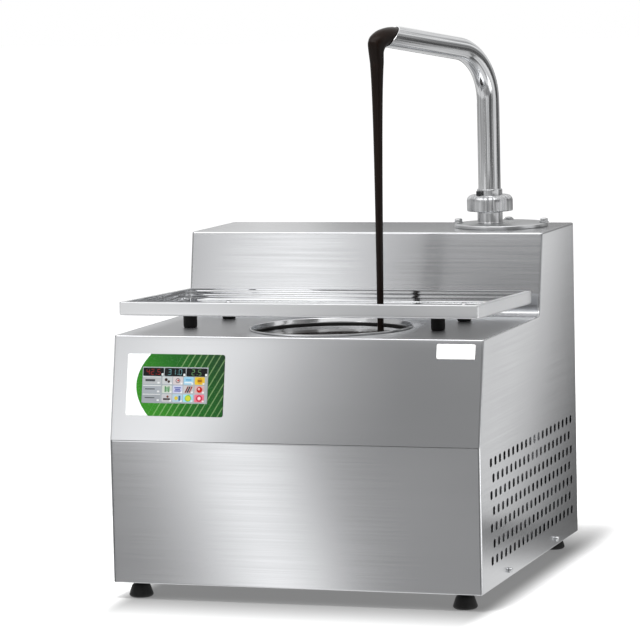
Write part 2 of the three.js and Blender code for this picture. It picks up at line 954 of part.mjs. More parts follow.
function addTankHeating() {
  const bandInner = tankOuterRadius + gap.face;
  const bandBottom = tankFloor + heaterBand.aboveTankFloor;
  const band = turned([
    [bandInner, bandBottom],
    [bandInner + heaterBand.thickness, bandBottom],
    [bandInner + heaterBand.thickness, bandBottom + heaterBand.height],
    [bandInner, bandBottom + heaterBand.height],
  ], tank.sides, tank.centreX, tankY);
  addPiece(machine, 'tank_heater_band', band, 'castAlloy');

  const seat = tankOuterRadius + gap.face;
  const stem = turned([
    [0, tank.innerRadius - probe.reachInside],
    [probe.stemRadius, tank.innerRadius - probe.reachInside],
    [probe.stemRadius, seat],
    [probe.headRadius, seat],
    [probe.headRadius, seat + probe.headLength],
    [0, seat + probe.headLength],
  ], probe.sides).rotateY(-Math.PI / 2);
  const mesh = addPiece(machine, 'temperature_probe', stem, 'polishedSteel');
  mesh.position.set(tank.centreX, tankY, tankFloor + probe.aboveTankFloor);
}

// The cooling tube: up from the condenser, round the tank, and over to the compressor's crown
function coolingPath() {
  const radius = tankOuterRadius + coil.wallGap + coil.tubeRadius;
  const low = tankFloor + coil.aboveTankFloor;
  const high = low + coil.turns * coil.pitch;
  const y = tankY + radius;
  const condenserX = halfWidth - condenser.wallGap - condenser.thickness / 2;
  const steps = coil.turns * coil.stepsPerTurn;
  const turns = Array.from({ length: steps + 1 }, (_, i) => {
    const angle = Math.PI / 2 + 2 * Math.PI * i / coil.stepsPerTurn;
    return new THREE.Vector3(
      tank.centreX + radius * Math.cos(angle),
      tankY + radius * Math.sin(angle),
      low + (high - low) * i / steps,
    );
  });
  return [
    new THREE.Vector3(condenserX, y, standing + condenser.height + gap.face),
    new THREE.Vector3(condenserX, y, low),
    ...turns,
    new THREE.Vector3(tank.centreX - radius / 2, y, high),
    new THREE.Vector3(compressorX(), compressorY(), high),
    new THREE.Vector3(compressorX(), compressorY(), standing + compressor.height + gap.face),
  ];
}

function addCoolingCoil() {
  addPiece(machine, 'cooling_coil', rod(coolingPath(), coil.tubeRadius, coil.tubeSides), 'copper');
}

// A worm gearbox with a bored output boss, and its motor lying towards -X
function addGearmotor(name, x, y) {
  const side = gearmotor.boxSide / 2;
  const housing = join([
    box([x - side, y - side, standing], [x + side, y + side, gearboxTop]),
    post(gearmotor.bossRadius, standing, gearboxTop + gearmotor.bossHeight, gearmotor.sides, x, y),
  ]);
  const bore = post(
    gearmotor.shaftRadius + gap.running,
    gearboxTop - gearmotor.boreDepth,
    gearboxTop + gearmotor.bossHeight + overrun,
    gearmotor.sides,
    x,
    y,
  );
  addPiece(machine, `${name}_gearbox`, cut(housing, [bore]), 'castAlloy');
  const motor = post(gearmotor.motorRadius, 0, gearmotor.motorLength, gearmotor.sides);
  const mesh = addPiece(machine, `${name}_motor`, motor.rotateY(-Math.PI / 2), 'motorBlack');
  mesh.position.set(x - side - gap.face, y, standing + gearmotor.boxHeight / 2);
}

function addAgitator() {
  const reach = tank.innerRadius * agitator.reachShare;
  const bottom = tankFloor + agitator.floorClear;
  const top = poolTop - pool.thickness - agitator.poolClear;
  const shaftFoot = gearboxTop - gearmotor.boreDepth + gap.face;
  const t = agitator.bladeThickness / 2;
  const stirrer = join([
    post(gearmotor.shaftRadius, shaftFoot, bottom + agitator.hubHeight, gearmotor.sides),
    post(agitator.hubRadius, bottom, bottom + agitator.hubHeight, gearmotor.sides),
    box([-reach, -t, bottom], [reach, t, bottom + agitator.armHeight]),
    box([-reach, -t, bottom], [agitator.bladeWidth - reach, t, top]),
    box([reach - agitator.bladeWidth, -t, bottom], [reach, t, top]),
  ]);
  const mesh = addPiece(machine, 'agitator', stirrer, 'polishedSteel');
  mesh.position.set(tank.centreX, tankY, 0);

  const inner = gearmotor.shaftRadius + gap.running;
  const under = tankFloor - tank.wall - gap.face;
  const seal = turned([
    [inner, under - shaftSeal.flangeThickness],
    [inner + shaftSeal.wall + shaftSeal.flangeWidth, under - shaftSeal.flangeThickness],
    [inner + shaftSeal.wall + shaftSeal.flangeWidth, under],
    [inner + shaftSeal.wall, under],
    [inner + shaftSeal.wall, tankFloor + shaftSeal.proud],
    [inner, tankFloor + shaftSeal.proud],
  ], gearmotor.sides, tank.centreX, tankY);
  addPiece(machine, 'agitator_seal', seal, 'silicone');
}

// Screw pump under the tower

function addPumpBarrel() {
  const inner = pump.barrelRadius - pump.barrelWall;
  const hole = gearmotor.shaftRadius + gap.running;
  const top = casing.towerHeight;
  const flangeHigh = casing.towerHeight - casing.sheet - gap.face;
  const barrel = turned([
    [hole, pump.barrelBottom],
    [pump.barrelRadius, pump.barrelBottom],
    [pump.barrelRadius, flangeHigh - pump.flangeThickness],
    [pump.flangeRadius, flangeHigh - pump.flangeThickness],
    [pump.flangeRadius, flangeHigh],
    [pump.barrelRadius, flangeHigh],
    [pump.barrelRadius, top],
    [inner, top],
    [inner, pump.barrelBottom + pump.barrelFloor],
    [hole, pump.barrelBottom + pump.barrelFloor],
  ], pump.sides, pumpX, pumpY);
  const [from, to] = transferPath(0);
  const port = rod([from, to], transfer.innerRadius, transfer.sides);
  addPiece(machine, 'pump_barrel', cut(barrel, [port]), 'polishedSteel');

  const sealBottom = pump.barrelBottom + pump.barrelFloor + gap.face;
  const seal = turned([
    [hole, sealBottom],
    [inner - gap.face, sealBottom],
    [inner - gap.face, sealBottom + auger.sealHeight],
    [hole, sealBottom + auger.sealHeight],
  ], pump.sides, pumpX, pumpY);
  addPiece(machine, 'pump_shaft_seal', seal, 'silicone');

  const heaterInner = pump.barrelRadius + gap.face;
  const heaterBottom = pump.barrelBottom + pumpHeater.aboveBarrelBottom;
  const heater = turned([
    [heaterInner, heaterBottom],
    [heaterInner + pumpHeater.thickness, heaterBottom],
    [heaterInner + pumpHeater.thickness, heaterBottom + pumpHeater.height],
    [heaterInner, heaterBottom + pumpHeater.height],
  ], pump.sides, pumpX, pumpY);
  addPiece(machine, 'pump_heater', heater, 'castAlloy');
}

// The screw's helical flight: a square-edged ribbon that starts inside the core
function augerFlight(bottom, top) {
  const inner = auger.coreRadius / 2;
  const outer = pump.barrelRadius - pump.barrelWall - gap.running;
  const run = top - bottom - auger.flightThickness;
  const steps = Math.round(run / auger.pitch * auger.stepsPerTurn);
  const rings = Array.from({ length: steps + 1 }, (_, i) => {
    const angle = 2 * Math.PI * i / auger.stepsPerTurn;
    const low = bottom + run * i / steps;
    const high = low + auger.flightThickness;
    const corners = [[inner, low], [outer, low], [outer, high], [inner, high]];
    return corners.map(([radius, z]) => (
      new THREE.Vector3(radius * Math.cos(angle), radius * Math.sin(angle), z)));
  });
  return lofted(rings);
}

function addAuger() {
  const seat = pump.barrelBottom + pump.barrelFloor + gap.face + auger.sealHeight;
  const flightBottom = seat + gap.running;
  const top = casing.towerHeight - auger.belowOutlet;
  const shaftFoot = gearboxTop - gearmotor.boreDepth + gap.face;
  const screw = join([
    post(gearmotor.shaftRadius, shaftFoot, flightBottom + auger.coreRadius, gearmotor.sides),
    post(auger.coreRadius, flightBottom, top, gearmotor.sides),
    augerFlight(flightBottom, top),
  ]);
  const mesh = addPiece(machine, 'auger_screw', screw, 'polishedSteel');
  mesh.position.set(pumpX, pumpY, 0);

  const low = gearboxTop + gearmotor.bossHeight + gap.running;
  const clamp = turned([
    [gearmotor.shaftRadius + gap.face, low],
    [coupling.radius, low],
    [coupling.radius, low + coupling.length],
    [gearmotor.shaftRadius + gap.face, low + coupling.length],
  ], gearmotor.sides, pumpX, pumpY);
  addPiece(machine, 'shaft_coupling', clamp, 'castAlloy');
}

function addTransferPipe() {
  const tube = pipe(transferPath(0), transfer.outerRadius, transfer.innerRadius, transfer.sides);
  const height = tankFloor + transfer.aboveTankFloor;
  const reach = transfer.outerRadius + overrun;
  const low = height - reach;
  const high = height + reach;
  const trimmed = cut(tube, [
    post(tankOuterRadius + gap.face, low, high, tank.sides, tank.centreX, tankY),
    post(pump.barrelRadius + gap.face, low, high, pump.sides, pumpX, pumpY),
  ]);
  addPiece(machine, 'transfer_pipe', trimmed, 'polishedSteel');
}

// Outlet on the tower's top

function flangeCentre() {
  return [pumpX + flange.offsetX, pumpY + flange.offsetY];
}

function flangeBoltPlaces() {
  const [x, y] = flangeCentre();
  return flange.boltAngles.map((angle) => [
    x + flange.boltCircle * Math.cos(angle * degree),
    y + flange.boltCircle * Math.sin(angle * degree),
  ]);
}

function addFlange() {
  const disc = post(flange.radius, flangeBottom, flangeTop, flange.sides, ...flangeCentre());
  const cutLow = flangeBottom - overrun;
  const cutHigh = flangeTop + overrun;
  const shanks = flangeBoltPlaces().map(([x, y]) => (
    post(flangeBolt.shankRadius + gap.screw, cutLow, cutHigh, flangeBolt.sides, x, y)));
  const bore = post(union.boreRadius, cutLow, cutHigh, union.sides, pumpX, pumpY);
  addPiece(machine, 'outlet_flange', cut(disc, [bore, ...shanks]), 'satinSteel');

  const seat = flangeTop + gap.face;
  const washerTop = seat + flangeBolt.washerThickness;
  flangeBoltPlaces().forEach(([x, y], i) => {
    const bolt = join([
      post(flangeBolt.shankRadius, flangeBottom - flangeBolt.below, washerTop, flangeBolt.sides),
      post(flangeBolt.washerRadius, seat, washerTop, flangeBolt.sides),
      post(flangeBolt.headRadius, seat, washerTop + flangeBolt.headHeight, 6),
    ]);
    const mesh = addPiece(machine, `flange_bolt_${i + 1}`, bolt, 'polishedSteel');
    mesh.position.set(x, y, 0);
  });
}

// Heights of the pipe union above the flange, from the neck up to the liner's collar
const unionLevels = (() => {
  const neckBottom = flangeTop + gap.face;
  const threadBottom = neckBottom + union.neckHeight;
  const threadTop = threadBottom + union.threadHeight;
  const sealBottom = threadTop + gap.face;
  const linerBottom = sealBottom + union.sealHeight + gap.face;
  const shoulderTop = linerBottom + union.shoulderHeight;
  const nutTop = shoulderTop + gap.face + union.nutTopWall;
  const collarTop = shoulderTop + union.collarHeight;
  return { neckBottom, threadBottom, threadTop, sealBottom, linerBottom, shoulderTop, nutTop, collarTop };
})();

function addUnion() {
  const level = unionLevels;
  const neck = turned([
    [union.boreRadius, level.neckBottom],
    [union.neckRadius, level.neckBottom],
    [union.neckRadius, level.threadBottom],
    [union.threadRadius, level.threadBottom],
    [union.threadRadius, level.threadTop],
    [union.boreRadius, level.threadTop],
  ], union.sides, pumpX, pumpY);
  addPiece(machine, 'outlet_neck', neck, 'satinSteel');

  const seal = turned([
    [union.boreRadius, level.sealBottom],
    [union.shoulderRadius, level.sealBottom],
    [union.shoulderRadius, level.sealBottom + union.sealHeight],
    [union.boreRadius, level.sealBottom + union.sealHeight],
  ], union.sides, pumpX, pumpY);
  addPiece(machine, 'union_seal', seal, 'silicone');

  const bore = spout.outerRadius + gap.face;
  const liner = turned([
    [bore, level.linerBottom],
    [union.shoulderRadius, level.linerBottom],
    [union.shoulderRadius, level.shoulderTop],
    [union.collarRadius, level.shoulderTop],
    [union.collarRadius, level.collarTop],
    [bore, level.collarTop],
  ], union.sides, pumpX, pumpY);
  addPiece(machine, 'spout_liner', liner, 'satinSteel');

  const throat = union.collarRadius + gap.running;
  const inside = union.threadRadius + gap.running;
  const nutBottom = level.threadTop - union.nutSkirt;
  const wallBottom = level.shoulderTop + gap.face;
  const c = union.nutChamfer;
  const nut = turned([
    [inside, nutBottom],
    [union.nutRadius - c, nutBottom],
    [union.nutRadius, nutBottom + c],
    [union.nutRadius, level.nutTop - c],
    [union.nutRadius - c, level.nutTop],
    [throat, level.nutTop],
    [throat, wallBottom],
    [inside, wallBottom],
  ], union.sides, pumpX, pumpY);
  addPiece(machine, 'union_nut', nut, 'satinSteel');
}

// A point in the spout's upright plane: a distance out from the pump's axis and a height
function spoutPoint(out, height) {
  return new THREE.Vector3(
    pumpX - out * Math.sin(spout.heading),
    pumpY - out * Math.cos(spout.heading),
    height,
  );
}

function bendEnd() {
  const sweep = Math.PI / 2 - spout.rise;
  return [
    spout.bendRadius * (1 - Math.cos(sweep)),
    spout.bendStart + spout.bendRadius * Math.sin(sweep),
  ];
}

function mouthHeight() {
  const [out, height] = bendEnd();
  return height + (spout.mouthReach - out) * Math.tan(spout.rise);
}

function mouthNormal() {
  const out = Math.sin(spout.mouthSlant);
  const direction = spoutPoint(out, Math.cos(spout.mouthSlant)).sub(spoutPoint(0, 0));
  return direction.normalize();
}

function addSpoutPipe() {
  const sweep = Math.PI / 2 - spout.rise;
  const bend = Array.from({ length: spout.bendSteps + 1 }, (_, i) => {
    const angle = sweep * i / spout.bendSteps;
    return spoutPoint(
      spout.bendRadius * (1 - Math.cos(angle)),
      spout.bendStart + spout.bendRadius * Math.sin(angle),
    );
  });
  const path = [
    spoutPoint(0, unionLevels.linerBottom),
    ...bend,
    spoutPoint(spout.mouthReach, mouthHeight()),
  ];
  const tube = pipe(path, spout.outerRadius, spout.innerRadius, spout.sides, mouthNormal());
  addPiece(machine, 'spout_pipe', tube, 'polishedSteel');
}

// The falling chocolate: a bent head from the mouth, then a column that necks as it falls
function addStream() {
  const across = mouthNormal().cross(zAxis).normalize();
  const ring = (outer, inner, halfAcross) => {
    const middle = outer.clone().add(inner).multiplyScalar(1 / 2);
    const half = outer.clone().sub(inner).multiplyScalar(1 / 2);
    return Array.from({ length: stream.sides }, (_, k) => {
      const angle = 2 * Math.PI * k / stream.sides;
      const point = middle.clone().addScaledVector(half, Math.cos(angle));
      return point.addScaledVector(across, halfAcross * Math.sin(angle));
    });
  };
  const radius = spout.outerRadius;
  const centre = spoutPoint(spout.mouthReach, mouthHeight()).addScaledVector(mouthNormal(), gap.face);
  const slant = spout.mouthSlant;
  const reach = spout.innerRadius;
  const down = spoutPoint(Math.cos(slant), -Math.sin(slant)).sub(spoutPoint(0, 0));
  const rings = [
    ring(centre.clone().addScaledVector(down, -reach), centre.clone().addScaledVector(down, reach), reach),
  ];
  streamHeadShares.forEach(([outerOut, outerUp, innerOut, innerUp, side]) => {
    const place = (out, up) => spoutPoint(spout.mouthReach + out * radius, mouthHeight() + up * radius);
    rings.push(ring(place(outerOut, outerUp), place(innerOut, innerUp), side * radius));
  });
  const columnTop = mouthHeight() - stream.headDrop;
  for (let i = 0; i <= stream.columnSteps; i += 1) {
    const share = (i / stream.columnSteps) ** 2;
    const height = columnTop + (streamFoot - columnTop) * share;
    const fallen = columnTop - height;
    const size = stream.topRadius * (1 + fallen / stream.neckLength) ** -stream.neckPower;
    rings.push(ring(spoutPoint(stream.reach + size, height), spoutPoint(stream.reach - size, height), size));
  }
  addPiece(machine, 'chocolate_stream', lofted(rings), 'chocolate');
}

// Lift-off mould tray

function trayOrigin() {
  return new THREE.Vector3(0, front + tray.frontSetBack, tray.frontTopHeight);
}

// Height of the tray's underside over the place y
function trayUnderside(y) {
  const origin = trayOrigin();
  return origin.z - tray.height / Math.cos(tray.tilt) - (y - origin.y) * Math.tan(tray.tilt);
}

function trayFootPlaces() {
  const rows = {
    front: [front + trayFoot.frontSetBack, trayFoot.frontX],
    rear: [front + trayFoot.rearSetBack, trayFoot.rearX],
  };
  return Object.entries(rows).flatMap(([row, [y, places]]) => (
    ['left', 'right'].map((side, i) => ({ name: `${row}_${side}`, x: places[i], y }))));
}

function trayPan() {
  const half = tray.width / 2;
  const wall = tray.sheet;
  const rim = tray.rim;
  const floorTop = wall - tray.height;
  const outer = box([-half, 0, -tray.height], [half, tray.depth, 0]);
  const mouth = box([rim - half, rim, -wall - overrun], [half - rim, tray.depth - rim, overrun]);
  const hollow = box([wall - half, wall, floorTop], [half - wall, tray.depth - wall, -wall]);
  const centreY = tankY + tray.windowShift - trayOrigin().y;
  const windowShape = roundedRectangle(
    tank.centreX - tray.windowWidth / 2,
    tank.centreX + tray.windowWidth / 2,
    centreY - tray.windowDepth / 2,
    centreY + tray.windowDepth / 2,
    tray.windowCorner,
    tray.cornerSteps,
  );
  const window = slab(outline(windowShape), tray.height).translate(0, 0, -tray.height - overrun);
  const studs = trayFootPlaces().map(({ x, y }) => {
    const place = new THREE.Vector3(x, y, trayUnderside(y)).sub(trayOrigin());
    place.applyAxisAngle(xAxis, tray.tilt);
    const low = -tray.height - overrun;
    return post(trayFoot.studRadius + gap.screw, low, floorTop + overrun, trayFoot.sides, x, place.y);
  });
  return cut(outer, [mouth, hollow, window, ...studs]);
}

function addTray() {
  const pan = addPiece(machine, 'tray_pan', trayPan(), 'satinSteel');
  pan.position.copy(trayOrigin());
  pan.rotation.x = -tray.tilt;
  trayFootPlaces().forEach(({ name, x, y }) => {
    const bottom = casing.deckHeight + gap.face;
    const top = trayUnderside(y + trayFoot.radius) - gap.face;
    const nutBottom = trayUnderside(y - trayFoot.nutRadius) + tray.sheet + gap.face;
    const foot = turned([
      [0, bottom],
      [trayFoot.radius, bottom],
      [trayFoot.radius, top],
      [trayFoot.studRadius, top],
      [trayFoot.studRadius, nutBottom],
      [trayFoot.nutRadius, nutBottom],
      [trayFoot.nutRadius, nutBottom + trayFoot.nutHeight],
      [0, nutBottom + trayFoot.nutHeight],
    ], trayFoot.sides);
    const mesh = addPiece(machine, `tray_foot_${name}`, foot, 'rubber');
    mesh.position.set(x, y, 0);
  });
}

// Refrigeration and electrics

function compressorX() {
  return compressor.leftInset - halfWidth;
}

function compressorY() {
  return back - compressor.backInset;
}

function addCompressor() {
  const dome = compressor.height * compressor.domeShare;
  const shoulder = standing + compressor.height - dome;
  const footTop = standing + compressor.footHeight;
  const crown = Array.from({ length: compressor.domeSteps }, (_, i) => {
    const angle = Math.PI / 2 * (i + 1) / compressor.domeSteps;
    const radius = i + 1 === compressor.domeSteps ? 0 : compressor.radius * Math.cos(angle);
    return [radius, shoulder + dome * Math.sin(angle)];
  });
  const shell = turned([
    [0, standing],
    [compressor.footRadius, standing],
    [compressor.footRadius, footTop],
    [compressor.radius, footTop],
    [compressor.radius, shoulder],
    ...crown,
  ], compressor.sides, compressorX(), compressorY());
  addPiece(machine, 'compressor', shell, 'motorBlack');
}

// A block whose fins stand across the air's way
function addCondenser() {
  const right = halfWidth - condenser.wallGap;
  const left = right - condenser.thickness;
  const start = front + condenser.setBack;
  const pitch = condenser.length / (2 * condenser.fins - 1);
  const toothed = [];
  for (let i = 0; i < condenser.fins; i += 1) {
    const y = start + 2 * i * pitch;
    if (i > 0) toothed.push([right - condenser.finDepth, y]);
    toothed.push([right, y], [right, y + pitch]);
    if (i + 1 < condenser.fins) toothed.push([right - condenser.finDepth, y + pitch]);
  }
  const corners = [[left, start], ...toothed, [left, start + condenser.length]];
  const points = corners.map(([x, y]) => new THREE.Vector2(x, y));
  const block = slab(outline(points), condenser.height).translate(0, 0, standing);
  addPiece(machine, 'condenser', block, 'castAlloy');
}

function fanPlace() {
  const plane = halfWidth - condenser.wallGap - condenser.thickness - gap.face;
  return {
    shroudLeft: plane - fan.shroudThickness,
    y: front + condenser.setBack + condenser.length / 2,
    z: standing + fan.shroudSide / 2,
  };
}

function addFan() {
  const { shroudLeft, y, z } = fanPlace();
  const side = fan.shroudSide / 2;
  const ring = arcPoints(
    0,
    0,
    fan.bladeRadius + fan.spacing,
    0,
    2 * Math.PI * (1 - 1 / fan.sides),
    fan.sides - 1,
  );
  const shroud = facingX(slab(outline(rectangle(-side, side, -side, side), [ring]), fan.shroudThickness));
  const shroudMesh = addPiece(machine, 'fan_shroud', shroud, 'blackPlastic');
  shroudMesh.position.set(shroudLeft, y, z);

  const rotorRight = shroudLeft - fan.spacing;
  const rotorLeft = rotorRight - fan.hubLength;
  const blades = Array.from({ length: fan.bladeCount }, (_, i) => {
    const half = fan.bladeThickness / 2;
    const root = fan.hubRadius / 2;
    const chord = fan.hubLength / 2 / Math.sin(fan.bladePitch) - 2 * half;
    const blade = box([-half, -chord, root], [half, chord, fan.bladeRadius]);
    blade.rotateZ(fan.bladePitch).rotateX(2 * Math.PI * i / fan.bladeCount);
    return blade;
  });
  const hub = post(fan.hubRadius, -fan.hubLength / 2, fan.hubLength / 2, fan.sides).rotateY(Math.PI / 2);
  const bore = post(fan.shaftRadius + gap.running, -fan.hubLength, fan.hubLength, fan.sides);
  const rotor = cut(join([hub, ...blades]), [bore.rotateY(Math.PI / 2)]);
  const rotorMesh = addPiece(machine, 'fan_rotor', rotor, 'blackPlastic');
  rotorMesh.position.set((rotorLeft + rotorRight) / 2, y, z);

  const motorRight = rotorLeft - fan.spacing;
  const motorLeft = motorRight - fan.motorLength;
  const body = post(fan.motorRadius, 0, fan.motorLength, fan.sides).rotateY(Math.PI / 2);
  const shaftLength = fan.motorLength + fan.spacing + fan.hubLength;
  const shaft = post(fan.shaftRadius, fan.motorLength / 2, shaftLength, fan.sides).rotateY(Math.PI / 2);
  const leg = box(
    [0, -fan.postWidth / 2, standing - z],
    [fan.postThickness, fan.postWidth / 2, 0],
  );
  const motorMesh = addPiece(machine, 'fan_motor', join([body, shaft, leg]), 'motorBlack');
  motorMesh.position.set(motorLeft, y, z);
}

function addDischargeLine() {
  const startX = compressorX() + compressor.radius + gap.face;
  const condenserX = halfWidth - condenser.wallGap - condenser.thickness / 2;
  const condenserEnd = front + condenser.setBack + condenser.length + gap.face;
  const z = dischargeLine.height;
  const path = [
    new THREE.Vector3(startX, compressorY(), z),
    new THREE.Vector3(startX + dischargeLine.run, compressorY(), z),
    new THREE.Vector3(pumpX / 2, dischargeLine.passY, z),
    new THREE.Vector3(condenserX, dischargeLine.passY, z),
    new THREE.Vector3(condenserX, condenserEnd, z),
  ];
  const line = rod(path, dischargeLine.tubeRadius, dischargeLine.sides);
  addPiece(machine, 'discharge_line', line, 'copper');
}

function addElectrics() {
  const left = electrics.leftInset - halfWidth;
  const unit = box(
    [left, innerBack - electrics.depth, electrics.height0],
    [left + electrics.width, innerBack, electrics.height0 + electrics.height],
  );
  addPiece(machine, 'power_supply', unit, 'blackPlastic');
}

// Mains socket with a rocker switch above it, let into the back panel. Local +Y faces outwards.
function addInlet() {
  const group = new THREE.Group();
  group.position.set(inletX, backPanelOuter + gap.face, inlet.centreZ);
  machine.add(group);
  const face = inlet.flangeThickness;
  const flangePlate = box(
    [-inlet.flangeWidth / 2, 0, -inlet.flangeHeight / 2],
    [inlet.flangeWidth / 2, face, inlet.flangeHeight / 2],
  );
  const housing = box(
    [-inlet.bodyWidth / 2, -inlet.bodyDepth, -inlet.bodyHeight / 2],
    [inlet.bodyWidth / 2, face / 2, inlet.bodyHeight / 2],
  );
  const socket = box(
    [-inlet.socketWidth / 2, face - inlet.socketDepth, -inlet.socketDrop - inlet.socketHeight / 2],
    [inlet.socketWidth / 2, face + overrun, -inlet.socketDrop + inlet.socketHeight / 2],
  );
  const well = box(
    [-inlet.rockerWellWidth / 2, face - inlet.rockerWellDepth, inlet.rockerLift - inlet.rockerWellHeight / 2],
    [inlet.rockerWellWidth / 2, face + overrun, inlet.rockerLift + inlet.rockerWellHeight / 2],
  );
  const pins = [-1, 0, 1].map((place) => {
    const x = place * inlet.pinSpacing;
    const z = inlet.pinRise - inlet.socketDrop;
    const root = face - inlet.socketDepth - inlet.pinWidth;
    return box(
      [x - inlet.pinWidth / 2, root, z - inlet.pinHeight / 2],
      [x + inlet.pinWidth / 2, face - inlet.socketDepth + inlet.pinLength, z + inlet.pinHeight / 2],
    );
  });
  const hollowed = cut(join([flangePlate, housing]), [socket, well]);
  addPiece(group, 'power_inlet', join([hollowed, ...pins]), 'blackPlastic');

  const width = inlet.rockerWellWidth - 2 * gap.face;
  const { halfLength, rootHalfLength, rootDepth, skirt, tipHeight, valleyHeight } = rocker;
  const profile = [
    [-rootDepth, -rootHalfLength],
    [-skirt, -halfLength],
    [tipHeight, -halfLength],
    [valleyHeight, 0],
    [tipHeight, halfLength],
    [-skirt, halfLength],
    [-rootDepth, rootHalfLength],
  ].map(([y, z]) => new THREE.Vector2(y, z));
  const key = facingX(slab(outline(profile), width)).translate(-width / 2, 0, 0);
  const keyMesh = addPiece(group, 'rocker_switch', key, 'blackPlastic');
  keyMesh.position.set(0, face - rocker.pivotDepth, inlet.rockerLift);
  keyMesh.rotation.x = rocker.tilt;
}

addCasing();
addBodyFeet();
addPanelScrews();
addControls();
addTank();
addTankHeating();
addCoolingCoil();
addGearmotor('agitator', tank.centreX, tankY);
addAgitator();
addPumpBarrel();
addGearmotor('pump', pumpX, pumpY);
addAuger();
addTransferPipe();
addFlange();
addUnion();
addSpoutPipe();
addStream();
addTray();
addCompressor();
addCondenser();
addFan();
addDischargeLine();
addElectrics();
addInlet();

export default machine;
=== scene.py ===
import json
from math import cos, pi, radians, sin, tan

import bmesh
import bpy
import numpy as np
from mathutils import Matrix, Vector


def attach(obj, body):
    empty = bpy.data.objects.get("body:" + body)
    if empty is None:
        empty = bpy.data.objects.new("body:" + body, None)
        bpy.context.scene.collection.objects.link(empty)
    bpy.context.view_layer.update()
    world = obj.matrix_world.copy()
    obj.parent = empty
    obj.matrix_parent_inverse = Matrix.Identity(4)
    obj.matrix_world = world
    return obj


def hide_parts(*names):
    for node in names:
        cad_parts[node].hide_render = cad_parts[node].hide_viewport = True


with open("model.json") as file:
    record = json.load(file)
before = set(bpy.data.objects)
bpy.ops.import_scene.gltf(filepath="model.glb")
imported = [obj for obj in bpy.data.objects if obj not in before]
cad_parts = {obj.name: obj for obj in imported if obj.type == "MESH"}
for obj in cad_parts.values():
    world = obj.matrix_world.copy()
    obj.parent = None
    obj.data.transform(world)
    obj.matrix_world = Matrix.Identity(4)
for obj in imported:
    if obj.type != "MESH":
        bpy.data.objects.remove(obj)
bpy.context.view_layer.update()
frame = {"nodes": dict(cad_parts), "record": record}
mm = 0.001

# Mesh helpers


def addObject(name, data):
    item = bpy.data.objects.new(name, data)
    bpy.context.scene.collection.objects.link(item)
    return item


# Angles of places spread evenly round a circle
def circleAngles(count):
    return np.arange(count) * 2 * pi / count


def pointCount(groups):
    return sum(len(group) for group in groups)


# Puts points and faces into a new object, knits what touches and lets it ride on a CAD body.
# facing turns an open sheet so that its mean normal looks that way; without it a closed shape is turned outwards.
# unrolled gives each face corner its place on the unrolled surface, in millimetres.
def makePiece(name, points, faces, material, body, facing=None, smooth=35, unrolled=None):
    mesh = bpy.data.meshes.new(name)
    mesh.from_pydata((np.asarray(points, float).reshape(-1, 3) * mm).tolist(), [], faces)
    if unrolled is not None:
        mesh.uv_layers.new(name="unrolled").data.foreach_set("uv", unrolled.ravel())
    knit = bmesh.new()
    knit.from_mesh(mesh)
    bmesh.ops.remove_doubles(knit, verts=knit.verts, dist=2e-6)
    bmesh.ops.dissolve_degenerate(knit, edges=knit.edges, dist=1e-7)
    bmesh.ops.recalc_face_normals(knit, faces=knit.faces)
    bmesh.ops.triangulate(knit, faces=[face for face in knit.faces if len(face.verts) > 4])
    if facing is not None:
        total = sum((face.normal * face.calc_area() for face in knit.faces), Vector())
        if total.dot(Vector(facing)) < 0:
            bmesh.ops.reverse_faces(knit, faces=knit.faces)
    rim = [edge.is_boundary for edge in knit.edges]
    knit.to_mesh(mesh)
    knit.free()
    mesh.shade_smooth()
    mesh.set_sharp_from_angle(angle=radians(smooth))
    sharp = np.zeros(len(mesh.edges), bool)
    mesh.attributes["sharp_edge"].data.foreach_get("value", sharp)
    mesh.attributes["sharp_edge"].data.foreach_set("value", sharp | np.array(rim, bool))
    piece = addObject(name, mesh)
    mesh.materials.append(material)
    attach(piece, body)
    return piece


# Quads between the rows of a grid of points; wrap joins the last column to the first.
def gridFaces(rows, columns, wrap=False, start=0, capFirst=False, capLast=False):
    index = start + np.arange(rows * columns).reshape(rows, columns)
    here = index if wrap else index[:, :-1]
    after = np.roll(index, -1, axis=1) if wrap else index[:, 1:]
    faces = np.stack([here[:-1], after[:-1], after[1:], here[1:]], axis=-1).reshape(-1, 4).tolist()
    if capFirst:
        faces.append(index[0][::-1].tolist())
    if capLast:
        faces.append(index[-1].tolist())
    return faces


# A row of points whose corners are rounded: each corner becomes a short parabola between the places one
# radius before and one radius after it. A further point on either side keeps the flats between them flat.
def rounded(points, radii, steps=4, closed=False, hold=1.2):
    corner = np.asarray(points, float)
    radii = np.broadcast_to(np.asarray(radii, float), len(corner))[:, None]
    before = np.roll(corner, 1, axis=0) - corner
    after = np.roll(corner, -1, axis=0) - corner
    if not closed:
        before[0] = after[0]
        after[-1] = before[-1]
    reach = [np.linalg.norm(side, axis=1, keepdims=True) for side in (before, after)]
    bent = radii > 0
    first, last, lead, tail = (
        corner + side / length * np.minimum(radii + extra * bent, length * share)
        for side, length, extra, share in ((before, reach[0], 0, 0.4), (after, reach[1], 0, 0.4),
                                           (before, reach[0], hold, 0.48), (after, reach[1], hold, 0.48)))
    t = np.linspace(0, 1, steps + 1)[None, :, None]
    curve = (1 - t) ** 2 * first[:, None] + 2 * t * (1 - t) * corner[:, None] + t ** 2 * last[:, None]
    curve = np.concatenate([lead[:, None], curve, tail[:, None]], axis=1)
    if not closed:
        curve[0] = corner[0]
        curve[-1] = corner[-1]
    return curve.reshape(-1, corner.shape[1])


